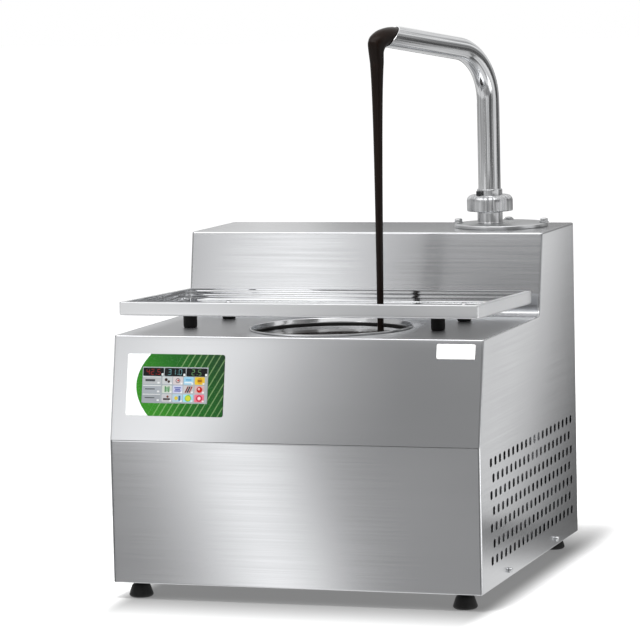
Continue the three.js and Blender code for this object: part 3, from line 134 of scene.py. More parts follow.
# A profile of radius and height turned about an upright axis; closed makes it a ring. centre is one place, or one
# for each point of the profile; shape makes new radii of the profile's radii and the angles round the axis.
def turned(name, profile, material, body, centre, segments, closed=False, smooth=35, shape=None):
    profile, centre = np.asarray(profile, float), np.asarray(centre, float)
    if closed:
        profile = np.vstack([profile, profile[:1]])
    angle = circleAngles(segments)
    radius = shape(profile[:, :1], angle) if shape else np.repeat(profile[:, :1], segments, axis=1)
    points = np.stack([
        centre[..., :1] + radius * np.cos(angle),
        centre[..., 1:] + radius * np.sin(angle),
        np.broadcast_to(profile[:, 1:2], radius.shape),
    ], axis=-1)
    faces = gridFaces(len(profile), segments, wrap=True)
    return makePiece(name, points, faces, material, body, smooth=smooth)


# A loop round a rectangle with rounded corners, counter-clockwise, the same count for any size.
def roundedLoop(x0, x1, y0, y1, radius, cornerSteps=6, edgeSteps=1):
    quarter = np.linspace(0, pi / 2, cornerSteps + 1)
    corners = [(x1 - radius, y1 - radius), (x0 + radius, y1 - radius),
               (x0 + radius, y0 + radius), (x1 - radius, y0 + radius)]
    arcs = [np.stack([cx + radius * np.cos(quarter + i * pi / 2),
                      cy + radius * np.sin(quarter + i * pi / 2)], axis=-1)
            for i, (cx, cy) in enumerate(corners)]
    loop = []
    for arc, following in zip(arcs, arcs[1:] + arcs[:1]):
        share = np.linspace(0, 1, edgeSteps + 1)[1:-1, None]
        loop += [arc, arc[-1] + (following[0] - arc[-1]) * share]
    return np.vstack(loop)


# A flat plate with a softened front edge, drawn in two plate directions and out of the plate: its outline steps
# in by the lip while it rises by as much.
def plate(name, size, radius, depth, lip, place, material, body):
    x0, x1, z0, z1 = size
    rows = [(0, 0), (0, depth - lip), (lip * 0.3, depth - lip * 0.3), (lip, depth), (lip + 0.8, depth)]
    loops = []
    for inset, out in rows:
        loop = roundedLoop(x0 + inset, x1 - inset, z0 + inset, z1 - inset, max(radius - inset, 0.01))
        loops.append(place(loop[:, 0], loop[:, 1], out))
    points = np.array(loops)
    faces = gridFaces(len(rows), points.shape[1], wrap=True, capFirst=True, capLast=True)
    return makePiece(name, points, faces, material, body)


# Copies a CAD node, knits its triangles and rounds its sharp edges.
def softenedNode(nodeName, width, material, body, segments=2):
    source = frame["nodes"][nodeName]
    knit = bmesh.new()
    knit.from_mesh(source.data)
    bmesh.ops.remove_doubles(knit, verts=knit.verts, dist=1e-6)
    bmesh.ops.dissolve_limit(knit, angle_limit=radians(0.5), verts=knit.verts, edges=knit.edges)
    mesh = bpy.data.meshes.new(nodeName + "_dressed")
    knit.to_mesh(mesh)
    knit.free()
    mesh.shade_smooth()
    mesh.set_sharp_from_angle(angle=radians(30))
    piece = addObject(nodeName + "_dressed", mesh)
    mesh.materials.append(material)
    bevel = piece.modifiers.new("softEdges", "BEVEL")
    bevel.width = width * mm
    bevel.segments = segments
    bevel.limit_method = "ANGLE"
    bevel.angle_limit = radians(30)
    bevel.harden_normals = True
    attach(piece, body)
    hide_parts(nodeName)
    return piece


def thicken(piece, name, thickness):
    wall = piece.modifiers.new(name, "SOLIDIFY")
    wall.thickness = thickness * mm
    wall.offset = -1
    return wall


# Material helpers


def linear(hexCode):
    channels = [int(hexCode[i:i + 2], 16) / 255 for i in (1, 3, 5)]
    return tuple(c / 12.92 if c <= 0.04045 else ((c + 0.055) / 1.055) ** 2.4 for c in channels) + (1.0,)


# A link starts at a socket, or at a node's first output.
def join(tree, source, node, socket):
    tree.links.new(getattr(source, "outputs", [source])[0], node.inputs[socket])


# One node with its settings and its links, both by property or socket name
def addNode(tree, kind, settings=None, links=None):
    node = tree.nodes.new(kind)
    for name, value in (settings or {}).items():
        if isinstance(name, str) and hasattr(node, name):
            setattr(node, name, value)
        else:
            node.inputs[name].default_value = value
    for name, source in (links or {}).items():
        join(tree, source, node, name)
    return node


# A colour ramp over a factor; stops are positions and colours.
def shadeRamp(tree, factor, stops):
    node = addNode(tree, "ShaderNodeValToRGB", links={"Fac": factor})
    elements = node.color_ramp.elements
    while len(elements) < len(stops):
        elements.new(0.5)
    for element, (position, colour) in zip(elements, stops):
        element.position = position
        element.color = colour
    return node


def emptyTree(block):
    block.use_nodes = True
    block.node_tree.nodes.clear()
    return block.node_tree


def startMaterial(name, settings):
    material = bpy.data.materials.new(name)
    tree = emptyTree(material)
    shader = addNode(tree, "ShaderNodeBsdfPrincipled", settings)
    addNode(tree, "ShaderNodeOutputMaterial", links={"Surface": shader})
    material.diffuse_color = settings.get("Base Color", (0.5, 0.5, 0.5, 1))
    return material, tree, shader


# Places counted in the pattern's size: grain is that size in millimetres along each axis, on object coordinates or
# on the unrolled surface.
def patternPlace(tree, grain, unrolled=False):
    if unrolled:
        place, unit = addNode(tree, "ShaderNodeUVMap", {"uv_map": "unrolled"}), 1
    else:
        place, unit = addNode(tree, "ShaderNodeTexCoord").outputs["Object"], mm
    scale = tuple(1 / (size * unit) for size in grain)
    return addNode(tree, "ShaderNodeMapping", {"Scale": scale}, {"Vector": place})


def grainNoise(tree, grain, detail=2.0, unrolled=False):
    return addNode(tree, "ShaderNodeTexNoise", {"Scale": 1.0, "Detail": detail},
                   {"Vector": patternPlace(tree, grain, unrolled)})


# A noise spread between two values onto one socket
def vary(tree, shader, socket, noise, low, high):
    spread = addNode(tree, "ShaderNodeMapRange", {"From Min": 0.3, "From Max": 0.7, "To Min": low, "To Max": high},
                     {"Value": noise})
    join(tree, spread, shader, socket)


def tint(tree, shader, noise, *shades):
    stops = [(position, linear(shade)) for position, shade in zip((0.3, 0.7), shades)]
    join(tree, shadeRamp(tree, noise, stops), shader, "Base Color")


def relief(tree, shader, noise, strength, depth):
    links = {"Height": noise}
    if shader.inputs["Normal"].is_linked:  # a second relief lies on the first
        links["Normal"] = shader.inputs["Normal"].links[0].from_socket
    bump = addNode(tree, "ShaderNodeBump", {"Strength": strength, "Distance": depth * mm}, links)
    join(tree, bump, shader, "Normal")


# Worked stainless: one grain of tool marks in roughness and relief. Its colour follows broad clouds where their
# size is given, and the same marks where it isn't. flat is the roughness for a viewer that reads no node trees.
def workedStainless(name, flat, grain, rough, shades, strength, depth=0.05, clouds=None, detail=2.0,
                    unrolled=False):
    material, tree, shader = startMaterial(name, {"Metallic": 1.0, "Roughness": flat})
    marks = grainNoise(tree, grain, detail, unrolled)
    vary(tree, shader, "Roughness", marks, *rough)
    tint(tree, shader, grainNoise(tree, clouds, 1.0) if clouds else marks, *shades)
    relief(tree, shader, marks, strength, depth)
    return material


sheetClouds = (190, 150, 170)
acrossGrain = (220, 1.4, 1.4)


# Stainless sheet, ground with a belt: the light runs out across the grain and every fold shows a bright line.
# Real grit marks are 0.1 mm apart, drawn 1.4 mm apart so that they show.
def stainlessSheet(name, grain, rough=(0.19, 0.25), shades=("#c3c4c6", "#cacbcd")):
    return workedStainless(name, 0.22, grain, rough, shades, 0.02, clouds=sheetClouds)


# Stainless tube and turned parts, buffed: nearly a mirror, with faint drawing lines.
def polishedStainless(name, grain, rough=(0.05, 0.11), shades=("#d2d3d5", "#dedfe0")):
    return workedStainless(name, 0.08, grain, rough, shades, 0.03, clouds=(40, 40, 60))


trayWaves = {"length": 5.6, "depth": 0.24}


# The tray's inside keeps the mill's polish. Its folded walls are a little wavy from the press brake, which
# splits what they mirror into long level lines; the waves follow height, so they leave the floor flat. The wave
# texture repeats every pi / 10 of its coordinate, so that scale gives one wave for each length.
def rolledWalls():
    material = workedStainless("Stainless_tray_polished", 0.09, acrossGrain, (0.07, 0.11), ("#cfd0d2", "#dadbdc"),
                               0.02, clouds=sheetClouds)
    tree = material.node_tree
    waves = addNode(tree, "ShaderNodeTexWave", {"bands_direction": "Z", "Scale": pi / 10},
                    {"Vector": patternPlace(tree, (1000, 1000, trayWaves["length"]))})
    relief(tree, tree.nodes["Principled BSDF"], waves.outputs["Fac"], 1.0, trayWaves["depth"])
    return material


# Moulded, painted, cast or drawn surfaces: a fine grain in both colour and roughness.
def plainSurface(name, shades, rough, grain, metallic=0.0, strength=0.1, depth=0.1, extra=None):
    settings = {"Metallic": metallic, "Roughness": sum(rough) / 2, **(extra or {})}
    material, tree, shader = startMaterial(name, settings)
    speckle = grainNoise(tree, (grain,) * 3, 3.0)
    vary(tree, shader, "Roughness", speckle, *rough)
    tint(tree, shader, grainNoise(tree, (grain * 12,) * 3), *shades)
    relief(tree, shader, speckle, strength, depth)
    return material


satinAcross = stainlessSheet("Stainless_sheet_ground_across", acrossGrain)
satinDeck = stainlessSheet("Stainless_deck_ground_coarse", acrossGrain, (0.36, 0.44))
satinUpright = stainlessSheet("Stainless_sheet_ground_lengthwise", (1.4, 260, 1.4))
trayStainless = stainlessSheet("Stainless_tray_ground", acrossGrain, (0.3, 0.36), ("#cdced0", "#d6d7d8"))
trayInside = rolledWalls()
turnedStainless = stainlessSheet("Stainless_turned_satin", (60, 60, 0.7), (0.26, 0.32), ("#c3c4c5", "#cccdce"))
bowlStainless = polishedStainless("Stainless_bowl_buffed", (60, 60, 0.9), (0.12, 0.18), ("#cfd0d2", "#dbdcdd"))
buffedTube = polishedStainless("Stainless_tube_buffed", (1.6, 1.6, 120))
# near-white steel for the spout's cut wall: a painted highlight along the mouth's rim
paintedHighlightEdge = polishedStainless("Stainless_edge_painted_highlight", (1.2, 1.2, 1.2), (0.2, 0.3), ("#eeeeef", "#f6f6f6"))
buffedScrew = polishedStainless("Stainless_screw_bright", (1.2, 1.2, 1.2), (0.12, 0.2), ("#bdbec0", "#d0d1d2"))
# the spout's tube as it was drawn and buffed: long fine draw lines that split every reflection into streaks along
# the tube; they run on the unrolled surface, 2.2 mm apart where real ones are 0.3 mm
drawnTube = workedStainless("Stainless_tube_drawn", 0.12, (2.2, 170, 1), (0.1, 0.16), ("#909193", "#e9eaeb"), 0.6,
                            detail=3.0, unrolled=True)
# the union's turned and milled parts: upright tool marks, 3.2 mm apart where real ones are 0.4 mm
unionStainless = workedStainless("Stainless_union_milled", 0.26, (3.2, 3.2, 90), (0.26, 0.32),
                                 ("#a9aaac", "#d4d5d6"), 0.06, 0.1, detail=1.0)
castAlloy = plainSurface("Aluminium_cast_plain", ("#8d8f91", "#a3a5a7"), (0.42, 0.6), 1.5, 0.95, 0.3, 0.3)
drawnCopper = plainSurface("Copper_tube_drawn", ("#a8623b", "#bf7a50"), (0.25, 0.4), 2.0, 1.0, 0.1, 0.1)
motorEnamel = plainSurface("Enamel_black_sprayed", ("#232527", "#2e3032"), (0.35, 0.5), 1.0, 0.0, 0.2, 0.1)
footRubber = plainSurface("EPDM_rubber_moulded", ("#060606", "#0d0d0d"), (0.5, 0.68), 0.8, 0.0, 0.25, 0.1,
                          {"Specular IOR Level": 0.25})
sealSilicone = plainSurface("Silicone_rubber_moulded", ("#0a0a0a", "#111010"), (0.45, 0.55), 0.8, 0.0, 0.1, 0.05,
                            {"Specular IOR Level": 0.3})
blackPolyamide = plainSurface("Polyamide_black_moulded", ("#161718", "#202224"), (0.36, 0.5), 0.6, 0.0, 0.3, 0.1)
boardLaminate = plainSurface("Glass_epoxy_board_lacquered", ("#184a2c", "#236b40"), (0.25, 0.4), 3.0)
blankLabel = plainSurface("Polyester_label_white", ("#f0f0f0", "#f7f7f7"), (0.28, 0.36), 2.0, 0.0, 0.03, 0.02)


# Dark couverture, liquid and in temper: almost black. It falls with a soft sheen and lies in the tank as
# a level, wet mirror.
def liquidChocolate(name, rough, specular):
    settings = {"Roughness": rough, "IOR": 1.46, "Specular IOR Level": specular}
    material, tree, shader = startMaterial(name, settings)
    tint(tree, shader, grainNoise(tree, (14, 14, 60), 2.0), "#100906", "#170e0a")
    relief(tree, shader, grainNoise(tree, (9, 9, 70), 1.0), 0.12, 0.4)
    return material


chocolate = liquidChocolate("Dark_couverture_falling", 0.3, 0.15)
poolChocolate = liquidChocolate("Dark_couverture_level", 0.1, 0.5)

slotMaterials = {
    "satin_steel": satinAcross, "polished_steel": buffedTube, "cast_alloy": castAlloy,
    "copper": drawnCopper, "motor_black": motorEnamel, "rubber": footRubber,
    "silicone": sealSilicone, "black_plastic": blackPolyamide, "circuit_board": boardLaminate,
    "white_plate": blankLabel, "chocolate": chocolate,
}
for part in frame["record"]["subparts"]:
    finish = slotMaterials.get(part["material_slot"], blackPolyamide)
    node = frame["nodes"][part["node"]]
    node.data.materials.clear()
    node.data.materials.append(finish)
print("materials made, CAD nodes dressed")

# Casing

casing = {
    "halfWidth": 260.0, "sheet": 1.5, "gap": 0.3, "front": -260.0, "back": 260.0, "under": 22.0,
    "crease": 217.5, "deckFront": -231.0, "deckBack": 61.0, "deck": 357.0,
    "towerHead": 82.5, "tower": 472.0, "fillet": 13.0, "fold": 2.6, "foldSteps": 6, "edge": 2.6, "columns": 32,
    "mouth": 109.9,
}
tankPlace = (12.0, -114.0)
innerHalf = casing["halfWidth"] - casing["edge"] - casing["gap"]


# The cover is the folded profile carried across the machine. Its deck is a field of loops that
# lead from a rectangle to the round tank mouth, each point on the ray from the mouth's centre.
def topCover():
    c = casing
    path = rounded(
        [(c["front"], c["crease"]), (c["deckFront"], c["deck"]), (c["deckBack"], c["deck"]),
         (c["towerHead"], c["tower"]), (c["back"], c["tower"])],
        [0, c["fold"], c["fillet"], c["fold"], 0], c["foldSteps"])
    across = np.linspace(-innerHalf, innerHalf, c["columns"] + 1)
    split = 2 * (c["foldSteps"] + 3)  # the deck lies between the first fold's last row and the fillet's first
    points, faces = [], []
    for strip in (path[:split], path[split:]):
        grid = np.stack(np.broadcast_arrays(across[None, :], strip[:, :1], strip[:, 1:2]), axis=-1)
        faces += gridFaces(len(strip), len(across), start=pointCount(points))
        points.append(grid.reshape(-1, 3))
    y0, y1 = path[split - 1, 0], path[split, 0]
    along = np.linspace(y0, y1, c["columns"] + 1)
    edge = np.vstack([
        np.stack([across[:-1], np.full(c["columns"], y0)], -1),
        np.stack([np.full(c["columns"], across[-1]), along[:-1]], -1),
        np.stack([across[:0:-1], np.full(c["columns"], y1)], -1),
        np.stack([np.full(c["columns"], across[0]), along[:0:-1]], -1),
    ])
    centre = np.array(tankPlace)
    ray = edge - centre
    mouth = centre + ray / np.linalg.norm(ray, axis=1, keepdims=True) * c["mouth"]
    share = np.array([0, 0.35, 0.7, 1.0])[:, None, None]
    field = edge[None] * (1 - share) + mouth[None] * share
    field = np.concatenate([field, np.full(field.shape[:2] + (1,), c["deck"])], axis=-1)
    faces += gridFaces(len(share), field.shape[1], wrap=True, start=pointCount(points))
    points.append(field.reshape(-1, 3))
    cover = makePiece("folded_top_cover", np.vstack(points), faces, satinAcross, "casing", facing=(0, -0.5, 1))
    # the deck is ground coarser, which keeps the buffers from mirroring in it
    cover.data.materials.append(satinDeck)
    height = np.array([face.center.z for face in cover.data.polygons])
    level = np.array([face.normal.z for face in cover.data.polygons])
    flat = (np.abs(height - c["deck"] * mm) < 1e-5) & (level > 0.999)
    cover.data.polygons.foreach_set("material_index", flat.astype(int))
    thicken(cover, "sheet", c["sheet"])
    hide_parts("top_cover")


def onFront(x, z, out):
    return np.stack([x, np.full_like(x, casing["front"] + casing["sheet"] - out), z], axis=-1)


slopeTilt = np.arctan2(casing["deckFront"] - casing["front"], casing["deck"] - casing["crease"])


# From across, up the slope and out of it to the machine's frame
def onSlope(x, up, out):
    y = casing["front"] + up * sin(slopeTilt) - out * cos(slopeTilt)
    z = casing["crease"] + up * cos(slopeTilt) + out * sin(slopeTilt)
    return np.stack(np.broadcast_arrays(x, y, z), axis=-1)


# The lower front is a plate on the casing's front plane.
def frontPanel():
    c = casing
    size = (-innerHalf, innerHalf, c["under"], c["crease"] - c["gap"])
    panel = plate("lower_front_panel", size, 0.6, c["sheet"], 1.2, onFront, satinAcross, "casing")
    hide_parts("front_panel")


vents = {"holeWidth": 11.6, "holeHeight": 12.3, "squareness": 0.59, "lip": 0.1, "pitch": 22.8, "rowPitch": 21.9,
         "columns": 20, "rows": 7, "firstY": -208.5, "lowestZ": 59.5}


# The side's outline drawn in by an inset: each corner moves along its mitre, the sum of its two inward normals
# over one plus their product. Outer corners then turn tighter by as much, the fillet at the tower's foot wider.
def sideOutline(inset):
    c = casing
    corner = np.array([(c["front"], c["under"]), (c["front"], c["crease"]), (c["deckFront"], c["deck"]),
                       (c["deckBack"], c["deck"]), (c["towerHead"], c["tower"]), (c["back"], c["tower"]),
                       (c["back"], c["under"])])
    ahead = np.roll(corner, -1, axis=0) - corner
    ahead /= np.linalg.norm(ahead, axis=1, keepdims=True)
    normal = np.stack([ahead[:, 1], -ahead[:, 0]], axis=-1)
    before = np.roll(normal, 1, axis=0)
    product = np.sum(normal * before, axis=1)
    drawnIn = corner + (normal + before) / (1 + product)[:, None] * inset
    half = np.sqrt((1 - product) / (1 + product)) * inset
    inwards = np.array([-1, -1, -1, 1, -1, -1, -1])
    radii = np.maximum(np.array([1.5, 1.5, 2.5, c["fillet"], 2.5, 1.5, 1.5]) + inwards * half, 0.05)
    return rounded(drawnIn, radii, steps=5, closed=True)


# A side panel with its rim rolled inwards by a quarter circle. Each cooling hole is a superellipse, its cosine and
# sine raised to the squareness, in a cell whose edge has as many points as the hole; the cells of neighbouring
# rows share their corners and middles.
def sidePanel(name, node, turn, holes):
    c, v = casing, vents
    outer = turn * c["halfWidth"]
    roll = np.linspace(0, pi / 2, 6)
    rows = [(c["edge"] + 0.9, 0.0)] + [(c["edge"] * (1 - sin(a)), c["edge"] * (1 - cos(a))) for a in roll]
    rows += [(c["sheet"], c["edge"]), (c["edge"], c["sheet"])]
    loops = [sideOutline(inset) for inset, _ in rows]
    count = len(loops[0])
    points = [np.column_stack([np.full(count, outer - turn * d), loop])
              for loop, (_, d) in zip(loops, rows)]
    faces = gridFaces(len(rows), count, wrap=True)
    if not holes:
        faces += [list(range(count)), list(range((len(rows) - 1) * count, len(rows) * count))]
        panel = makePiece(name, np.vstack(points), faces, satinUpright, "casing")
        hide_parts(node)
        return
    half, rise = v["pitch"] / 2, v["rowPitch"] / 2
    left, low = v["firstY"] - half, v["lowestZ"] - rise
    right, high = left + v["columns"] * v["pitch"], low + v["rows"] * v["rowPitch"]
    cell = np.array([(half, -rise / 2), (half, 0), (half, rise / 2), (half, rise), (0, rise), (-half, rise),
                     (-half, rise / 2), (-half, 0), (-half, -rise / 2), (-half, -rise), (0, -rise), (half, -rise)])
    angle = np.arctan2(cell[:, 1] / v["holeHeight"], cell[:, 0] / v["holeWidth"])
    ring = np.stack([np.sign(side) * np.abs(side) ** v["squareness"] * reach / 2 for side, reach in
                     ((np.cos(angle), v["holeWidth"]), (np.sin(angle), v["holeHeight"]))], axis=-1)
    grow = 1 + v["lip"] * 2 / v["holeWidth"]
    layers = [(cell, 0), (ring * grow, 0), (ring, v["lip"]), (ring, v["lip"] * 2), (cell, c["sheet"])]
    around = len(cell)
    centres = np.array([(v["firstY"] + (column + row % 2 / 2) * v["pitch"], v["lowestZ"] + row * v["rowPitch"])
                        for row in range(v["rows"]) for column in range(v["columns"] - row % 2)])
    stack = np.array([[np.column_stack([np.full(around, outer - turn * d), loop]) for loop, d in layers]])
    field = np.repeat(stack, len(centres), axis=0)
    field[..., 1:] += centres[:, None, None, :]
    for cellPoints in field:
        faces += gridFaces(len(layers), around, wrap=True, start=pointCount(points))
        points.append(cellPoints.reshape(-1, 3))

    def polygon(x, outline):
        start = pointCount(points)
        points.append(np.column_stack([np.full(len(outline), x), outline]))
        faces.append(list(range(start, start + len(outline))))

    # the plain sheet round the field of holes, in four polygons, and the half cells that end every other row
    bays = np.arange(left, right + half / 2, half)
    steps = np.arange(v["rows"] * 4 + 1) * rise / 2 + low
    sides = {
        "low": np.column_stack([bays, np.full(len(bays), low)]),
        "right": np.column_stack([np.full(len(steps), right), steps]),
        "high": np.column_stack([bays[::-1], np.full(len(bays), high)]),
        "left": np.column_stack([np.full(len(steps), left), steps[::-1]]),
    }
    corners = {"left": (c["front"], c["under"]), "high": (c["front"], c["crease"]),
               "right": (c["back"], c["tower"]), "low": (c["back"], c["under"])}
    for border, d in ((0, 0.0), (len(rows) - 1, c["sheet"])):
        x = outer - turn * d
        outline = loops[border]
        nearest = {key: int(np.argmin(np.hypot(*(outline - place).T))) for key, place in corners.items()}
        for key, following in (("left", "high"), ("high", "right"), ("right", "low"), ("low", "left")):
            run = (nearest[key] + np.arange((nearest[following] - nearest[key]) % count + 1)) % count
            polygon(x, np.vstack([outline[run], sides[key]]))
        for row in range(1, v["rows"], 2):
            heights = low + row * v["rowPitch"] + np.arange(5) * rise / 2
            for y0, y1 in ((left, left + half), (right, right - half)):
                polygon(x, np.vstack([np.column_stack([np.full(5, y1), heights]),
                                      np.column_stack([np.full(5, y0), heights[::-1]])]))
    panel = makePiece(name, np.vstack(points), faces, satinUpright, "casing", smooth=28)
    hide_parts(node)


topCover()
frontPanel()
sidePanel("left_side_sheet", "left_side_panel", -1, False)
sidePanel("right_side_sheet", "right_side_panel", 1, True)
softenedNode("back_panel", 0.4, satinUpright, "casing")
softenedNode("base_plate", 0.5, satinAcross, "casing")
print("casing built")

# Levelling feet and panel screws

bodyFoot = {"pad": 16.6, "shoulder": 12.6, "crown": 18.4, "nut": 7.6, "top": 21.7, "stud": 4.0,
            "studTop": 37.5, "sides": 48,
            "places": {"front_left": (-229, -236), "front_right": (229, -236),
                       "rear_left": (-229, 234), "rear_right": (229, 234)}}


# A rubber foot like a blunt cone: round-edged pad, straight flank, soft shoulder and the lock nut on its crown
def levellingFeet():
    f = bodyFoot
    profile = rounded([
        (0, 0), (f["pad"] - 2.4, 0), (f["pad"], 2.6), (f["pad"] - 0.3, 4.8), (f["shoulder"], f["crown"] - 2.6),
        (f["shoulder"] - 2.6, f["crown"]), (f["nut"], f["crown"] + 0.2), (f["nut"], f["top"]),
        (f["stud"], f["top"]), (f["stud"], f["studTop"]), (0, f["studTop"]),
    ], [0, 1.5, 1.2, 1.5, 1.6, 1.6, 0.2, 0.4, 0.2, 0.4, 0], steps=3)
    for corner, place in f["places"].items():
        row, side = corner.split("_")
        foot = turned("rubber_foot_" + corner, profile, footRubber, f"{row}_{side}_foot", place, f["sides"])
        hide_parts("foot_" + corner)


panelScrew = {"shank": 2.1, "depth": 7.0, "head": 3.8, "flank": 3.0, "crown": 2.9, "crownOut": 5.1, "out": 5.5,
              "rows": {"front": -127.0, "rear": 127.0}, "height": 33.0, "sides": 32}


# Turned screws lie along X: the profile's height becomes the distance out of the panel.
def panelScrews():
    s = panelScrew
    seat = casing["halfWidth"] + casing["gap"]
    profile = rounded([
        (0, seat - s["depth"]), (s["shank"], seat - s["depth"]), (s["shank"], seat), (s["head"], seat),
        (s["head"], seat + s["flank"]), (s["crown"], seat + s["crownOut"]), (0, seat + s["out"]),
    ], [0, 0.3, 0.1, 0.3, 1.2, 1.4, 0], steps=4)
    angle = circleAngles(s["sides"])
    radius, out = profile[:, :1], profile[:, 1:2]
    for side, turn in (("left", -1), ("right", 1)):
        for row, y in s["rows"].items():
            points = np.stack(np.broadcast_arrays(
                turn * out, y + radius * np.cos(angle), s["height"] + radius * np.sin(angle)), axis=-1)
            screw = makePiece(f"domed_screw_{side}_{row}", points, gridFaces(len(profile), s["sides"], wrap=True),
                              buffedScrew, "casing")
            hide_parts(f"panel_screw_{side}_{row}")


levellingFeet()
panelScrews()
print("feet and screws built")

# Tank mouth

tank = {"inner": 108.0, "wall": 1.5, "floor": 122.0, "corner": 30.0, "rim": 112.0, "lipLow": 354.0,
        "flareLow": 338.0, "flareHigh": 348.0, "flare": 1.6, "rimLow": 357.3, "rimHigh": 359.8, "hole": 11.8,
        "sides": 128}
mouthSeal = {"inner": 105.2, "outer": 107.7, "low": 348.4, "high": 353.4}
pool = {"radius": 106.9, "top": 344.5, "bottom": 329.5, "landing": (60.7, -42.0), "ripple": 0.45,
        "wave": 7.5, "reach": 34.0, "swell": 0.12, "swellAcross": 31, "swellAlong": 27, "rows": 56, "sides": 160}


# The bowl's wall is its profile turned about the tank's axis, and so is the seal ring under its rolled rim.
def tankBowl():
    t = tank
    outer = t["inner"] + t["wall"]
    profile = rounded([
        (t["hole"], t["floor"]), (t["inner"], t["floor"]), (t["inner"] - t["flare"], t["flareLow"]),
        (t["inner"], t["flareHigh"]), (t["inner"], t["lipLow"]), (t["inner"] + 2.0, t["rimHigh"]),
        (t["rim"], t["rimHigh"]), (t["rim"], t["rimLow"]), (outer, t["rimLow"]), (outer, t["floor"] - t["wall"]),
        (t["hole"], t["floor"] - t["wall"]),
    ], [0, t["corner"], 2, 1, 1.0, 1.0, 0.8, 0.7, 0.2, t["corner"], 0], steps=8)
    bowl = turned("tank_bowl", profile, bowlStainless, "casing", tankPlace, t["sides"], closed=True)
    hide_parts("tank")
    s = mouthSeal
    near, far, low, high = s["inner"], s["outer"], s["low"], s["high"]
    seal = rounded([(near, low), (far, low), (far, high), (near, high)], 1.0, closed=True)
    ring = turned("mouth_seal_ring", seal, sealSilicone, "casing", tankPlace, t["sides"], closed=True)
    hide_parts("tank_mouth_seal")


# The chocolate's surface: rings spread from where the stream lands, a cosine of the distance that dies away with
# it, and a slow swell of sine times cosine crosses the whole mouth.
def chocolatePool():
    p = pool
    radius = np.concatenate([np.linspace(0, p["radius"], p["rows"]), [p["radius"], p["radius"] - 3, 0]])
    depth = p["bottom"] - p["top"]
    height = np.concatenate([np.zeros(p["rows"]), [p["bottom"] + 3 - p["top"], depth, depth]])
    angle = circleAngles(p["sides"])
    x = tankPlace[0] + radius[:, None] * np.cos(angle)
    y = tankPlace[1] + radius[:, None] * np.sin(angle)
    away = np.hypot(x - p["landing"][0], y - p["landing"][1])
    swell = p["ripple"] * np.cos(away / p["wave"] * 2 * pi) * np.exp(-away / p["reach"])
    swell += p["swell"] * np.sin(x / p["swellAcross"] + 0.6) * np.cos(y / p["swellAlong"])
    lift = np.where(height[:, None] == 0, swell - p["ripple"] - 0.15, 0)
    z = p["top"] + height[:, None] + lift
    points = np.stack([x, y, z], axis=-1)
    surface = makePiece("chocolate_surface", points, gridFaces(len(radius), p["sides"], wrap=True),
                        poolChocolate, "casing")
    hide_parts("chocolate_in_tank")


tankBowl()
chocolatePool()
print("tank built")

# Tray

tray = {"halfWidth": 253.0, "depth": 275.0, "height": 18.3, "sheet": 1.5, "rim": 8.0, "planCorner": 4.0,
        "fold": 1.6, "bottomFold": 3.4, "front": -230.0, "top": 401.8, "tilt": radians(1.62),
        "floorStrip": 26.0, "window": (-90.0, 114.0, -205.5, -8.5), "windowCorner": 20.0}


# From the tray's own directions to the machine's frame: it leans back about its front top edge.
def onTray(x, y, z):
    t = tray
    return np.stack(np.broadcast_arrays(
        x, t["front"] + y * cos(t["tilt"]) + z * sin(t["tilt"]), t["top"] - y * sin(t["tilt"]) + z * cos(t["tilt"]),
    ), axis=-1)


# The pan is one fold profile carried round its rectangle: in along the rim, down the wall,
# and across the floor to the opening.
def trayPan():
    t = tray
    profile = rounded([(t["rim"], 0), (0, 0), (0, -t["height"]), (t["floorStrip"], -t["height"])],
                      [0, t["fold"], t["bottomFold"], 0], steps=5)
    loops = []
    for inset, z in profile:
        loop = roundedLoop(inset - t["halfWidth"], t["halfWidth"] - inset, inset, t["depth"] - inset,
                           max(t["planCorner"] - inset, 0.4), edgeSteps=12)
        loops.append(np.column_stack([loop, np.full(len(loop), z)]))
    x0, x1, y0, y1 = t["window"]
    window = roundedLoop(x0, x1, y0 - t["front"], y1 - t["front"], t["windowCorner"], edgeSteps=12)
    loops.append(np.column_stack([window, np.full(len(window), -t["height"])]))
    local = np.array(loops)
    points = onTray(local[..., 0], local[..., 1], local[..., 2])
    pan = makePiece("mould_tray", points, gridFaces(len(loops), len(window), wrap=True), trayStainless, "tray",
                    facing=(0, 0, -1))
    # the inside keeps the mill's polish and mirrors its own walls
    pan.data.materials.append(trayInside)
    wall = thicken(pan, "sheet", t["sheet"])
    wall.material_offset = 1
    wall.material_offset_rim = 1
    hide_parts("tray_pan")


trayFeet = {"radius": 9.6, "bottom": 357.3, "stud": 2.9, "studOut": 2.2, "gap": 0.3, "sides": 40,
            "places": {"front_left": (-187, -130), "front_right": (168, -130),
                       "rear_left": (-172, -14), "rear_right": (172, -14)}}
trayScrew = {"radius": 5.0, "flank": 1.6, "crown": 3.6, "crownOut": 3.2, "out": 3.4, "sides": 32}


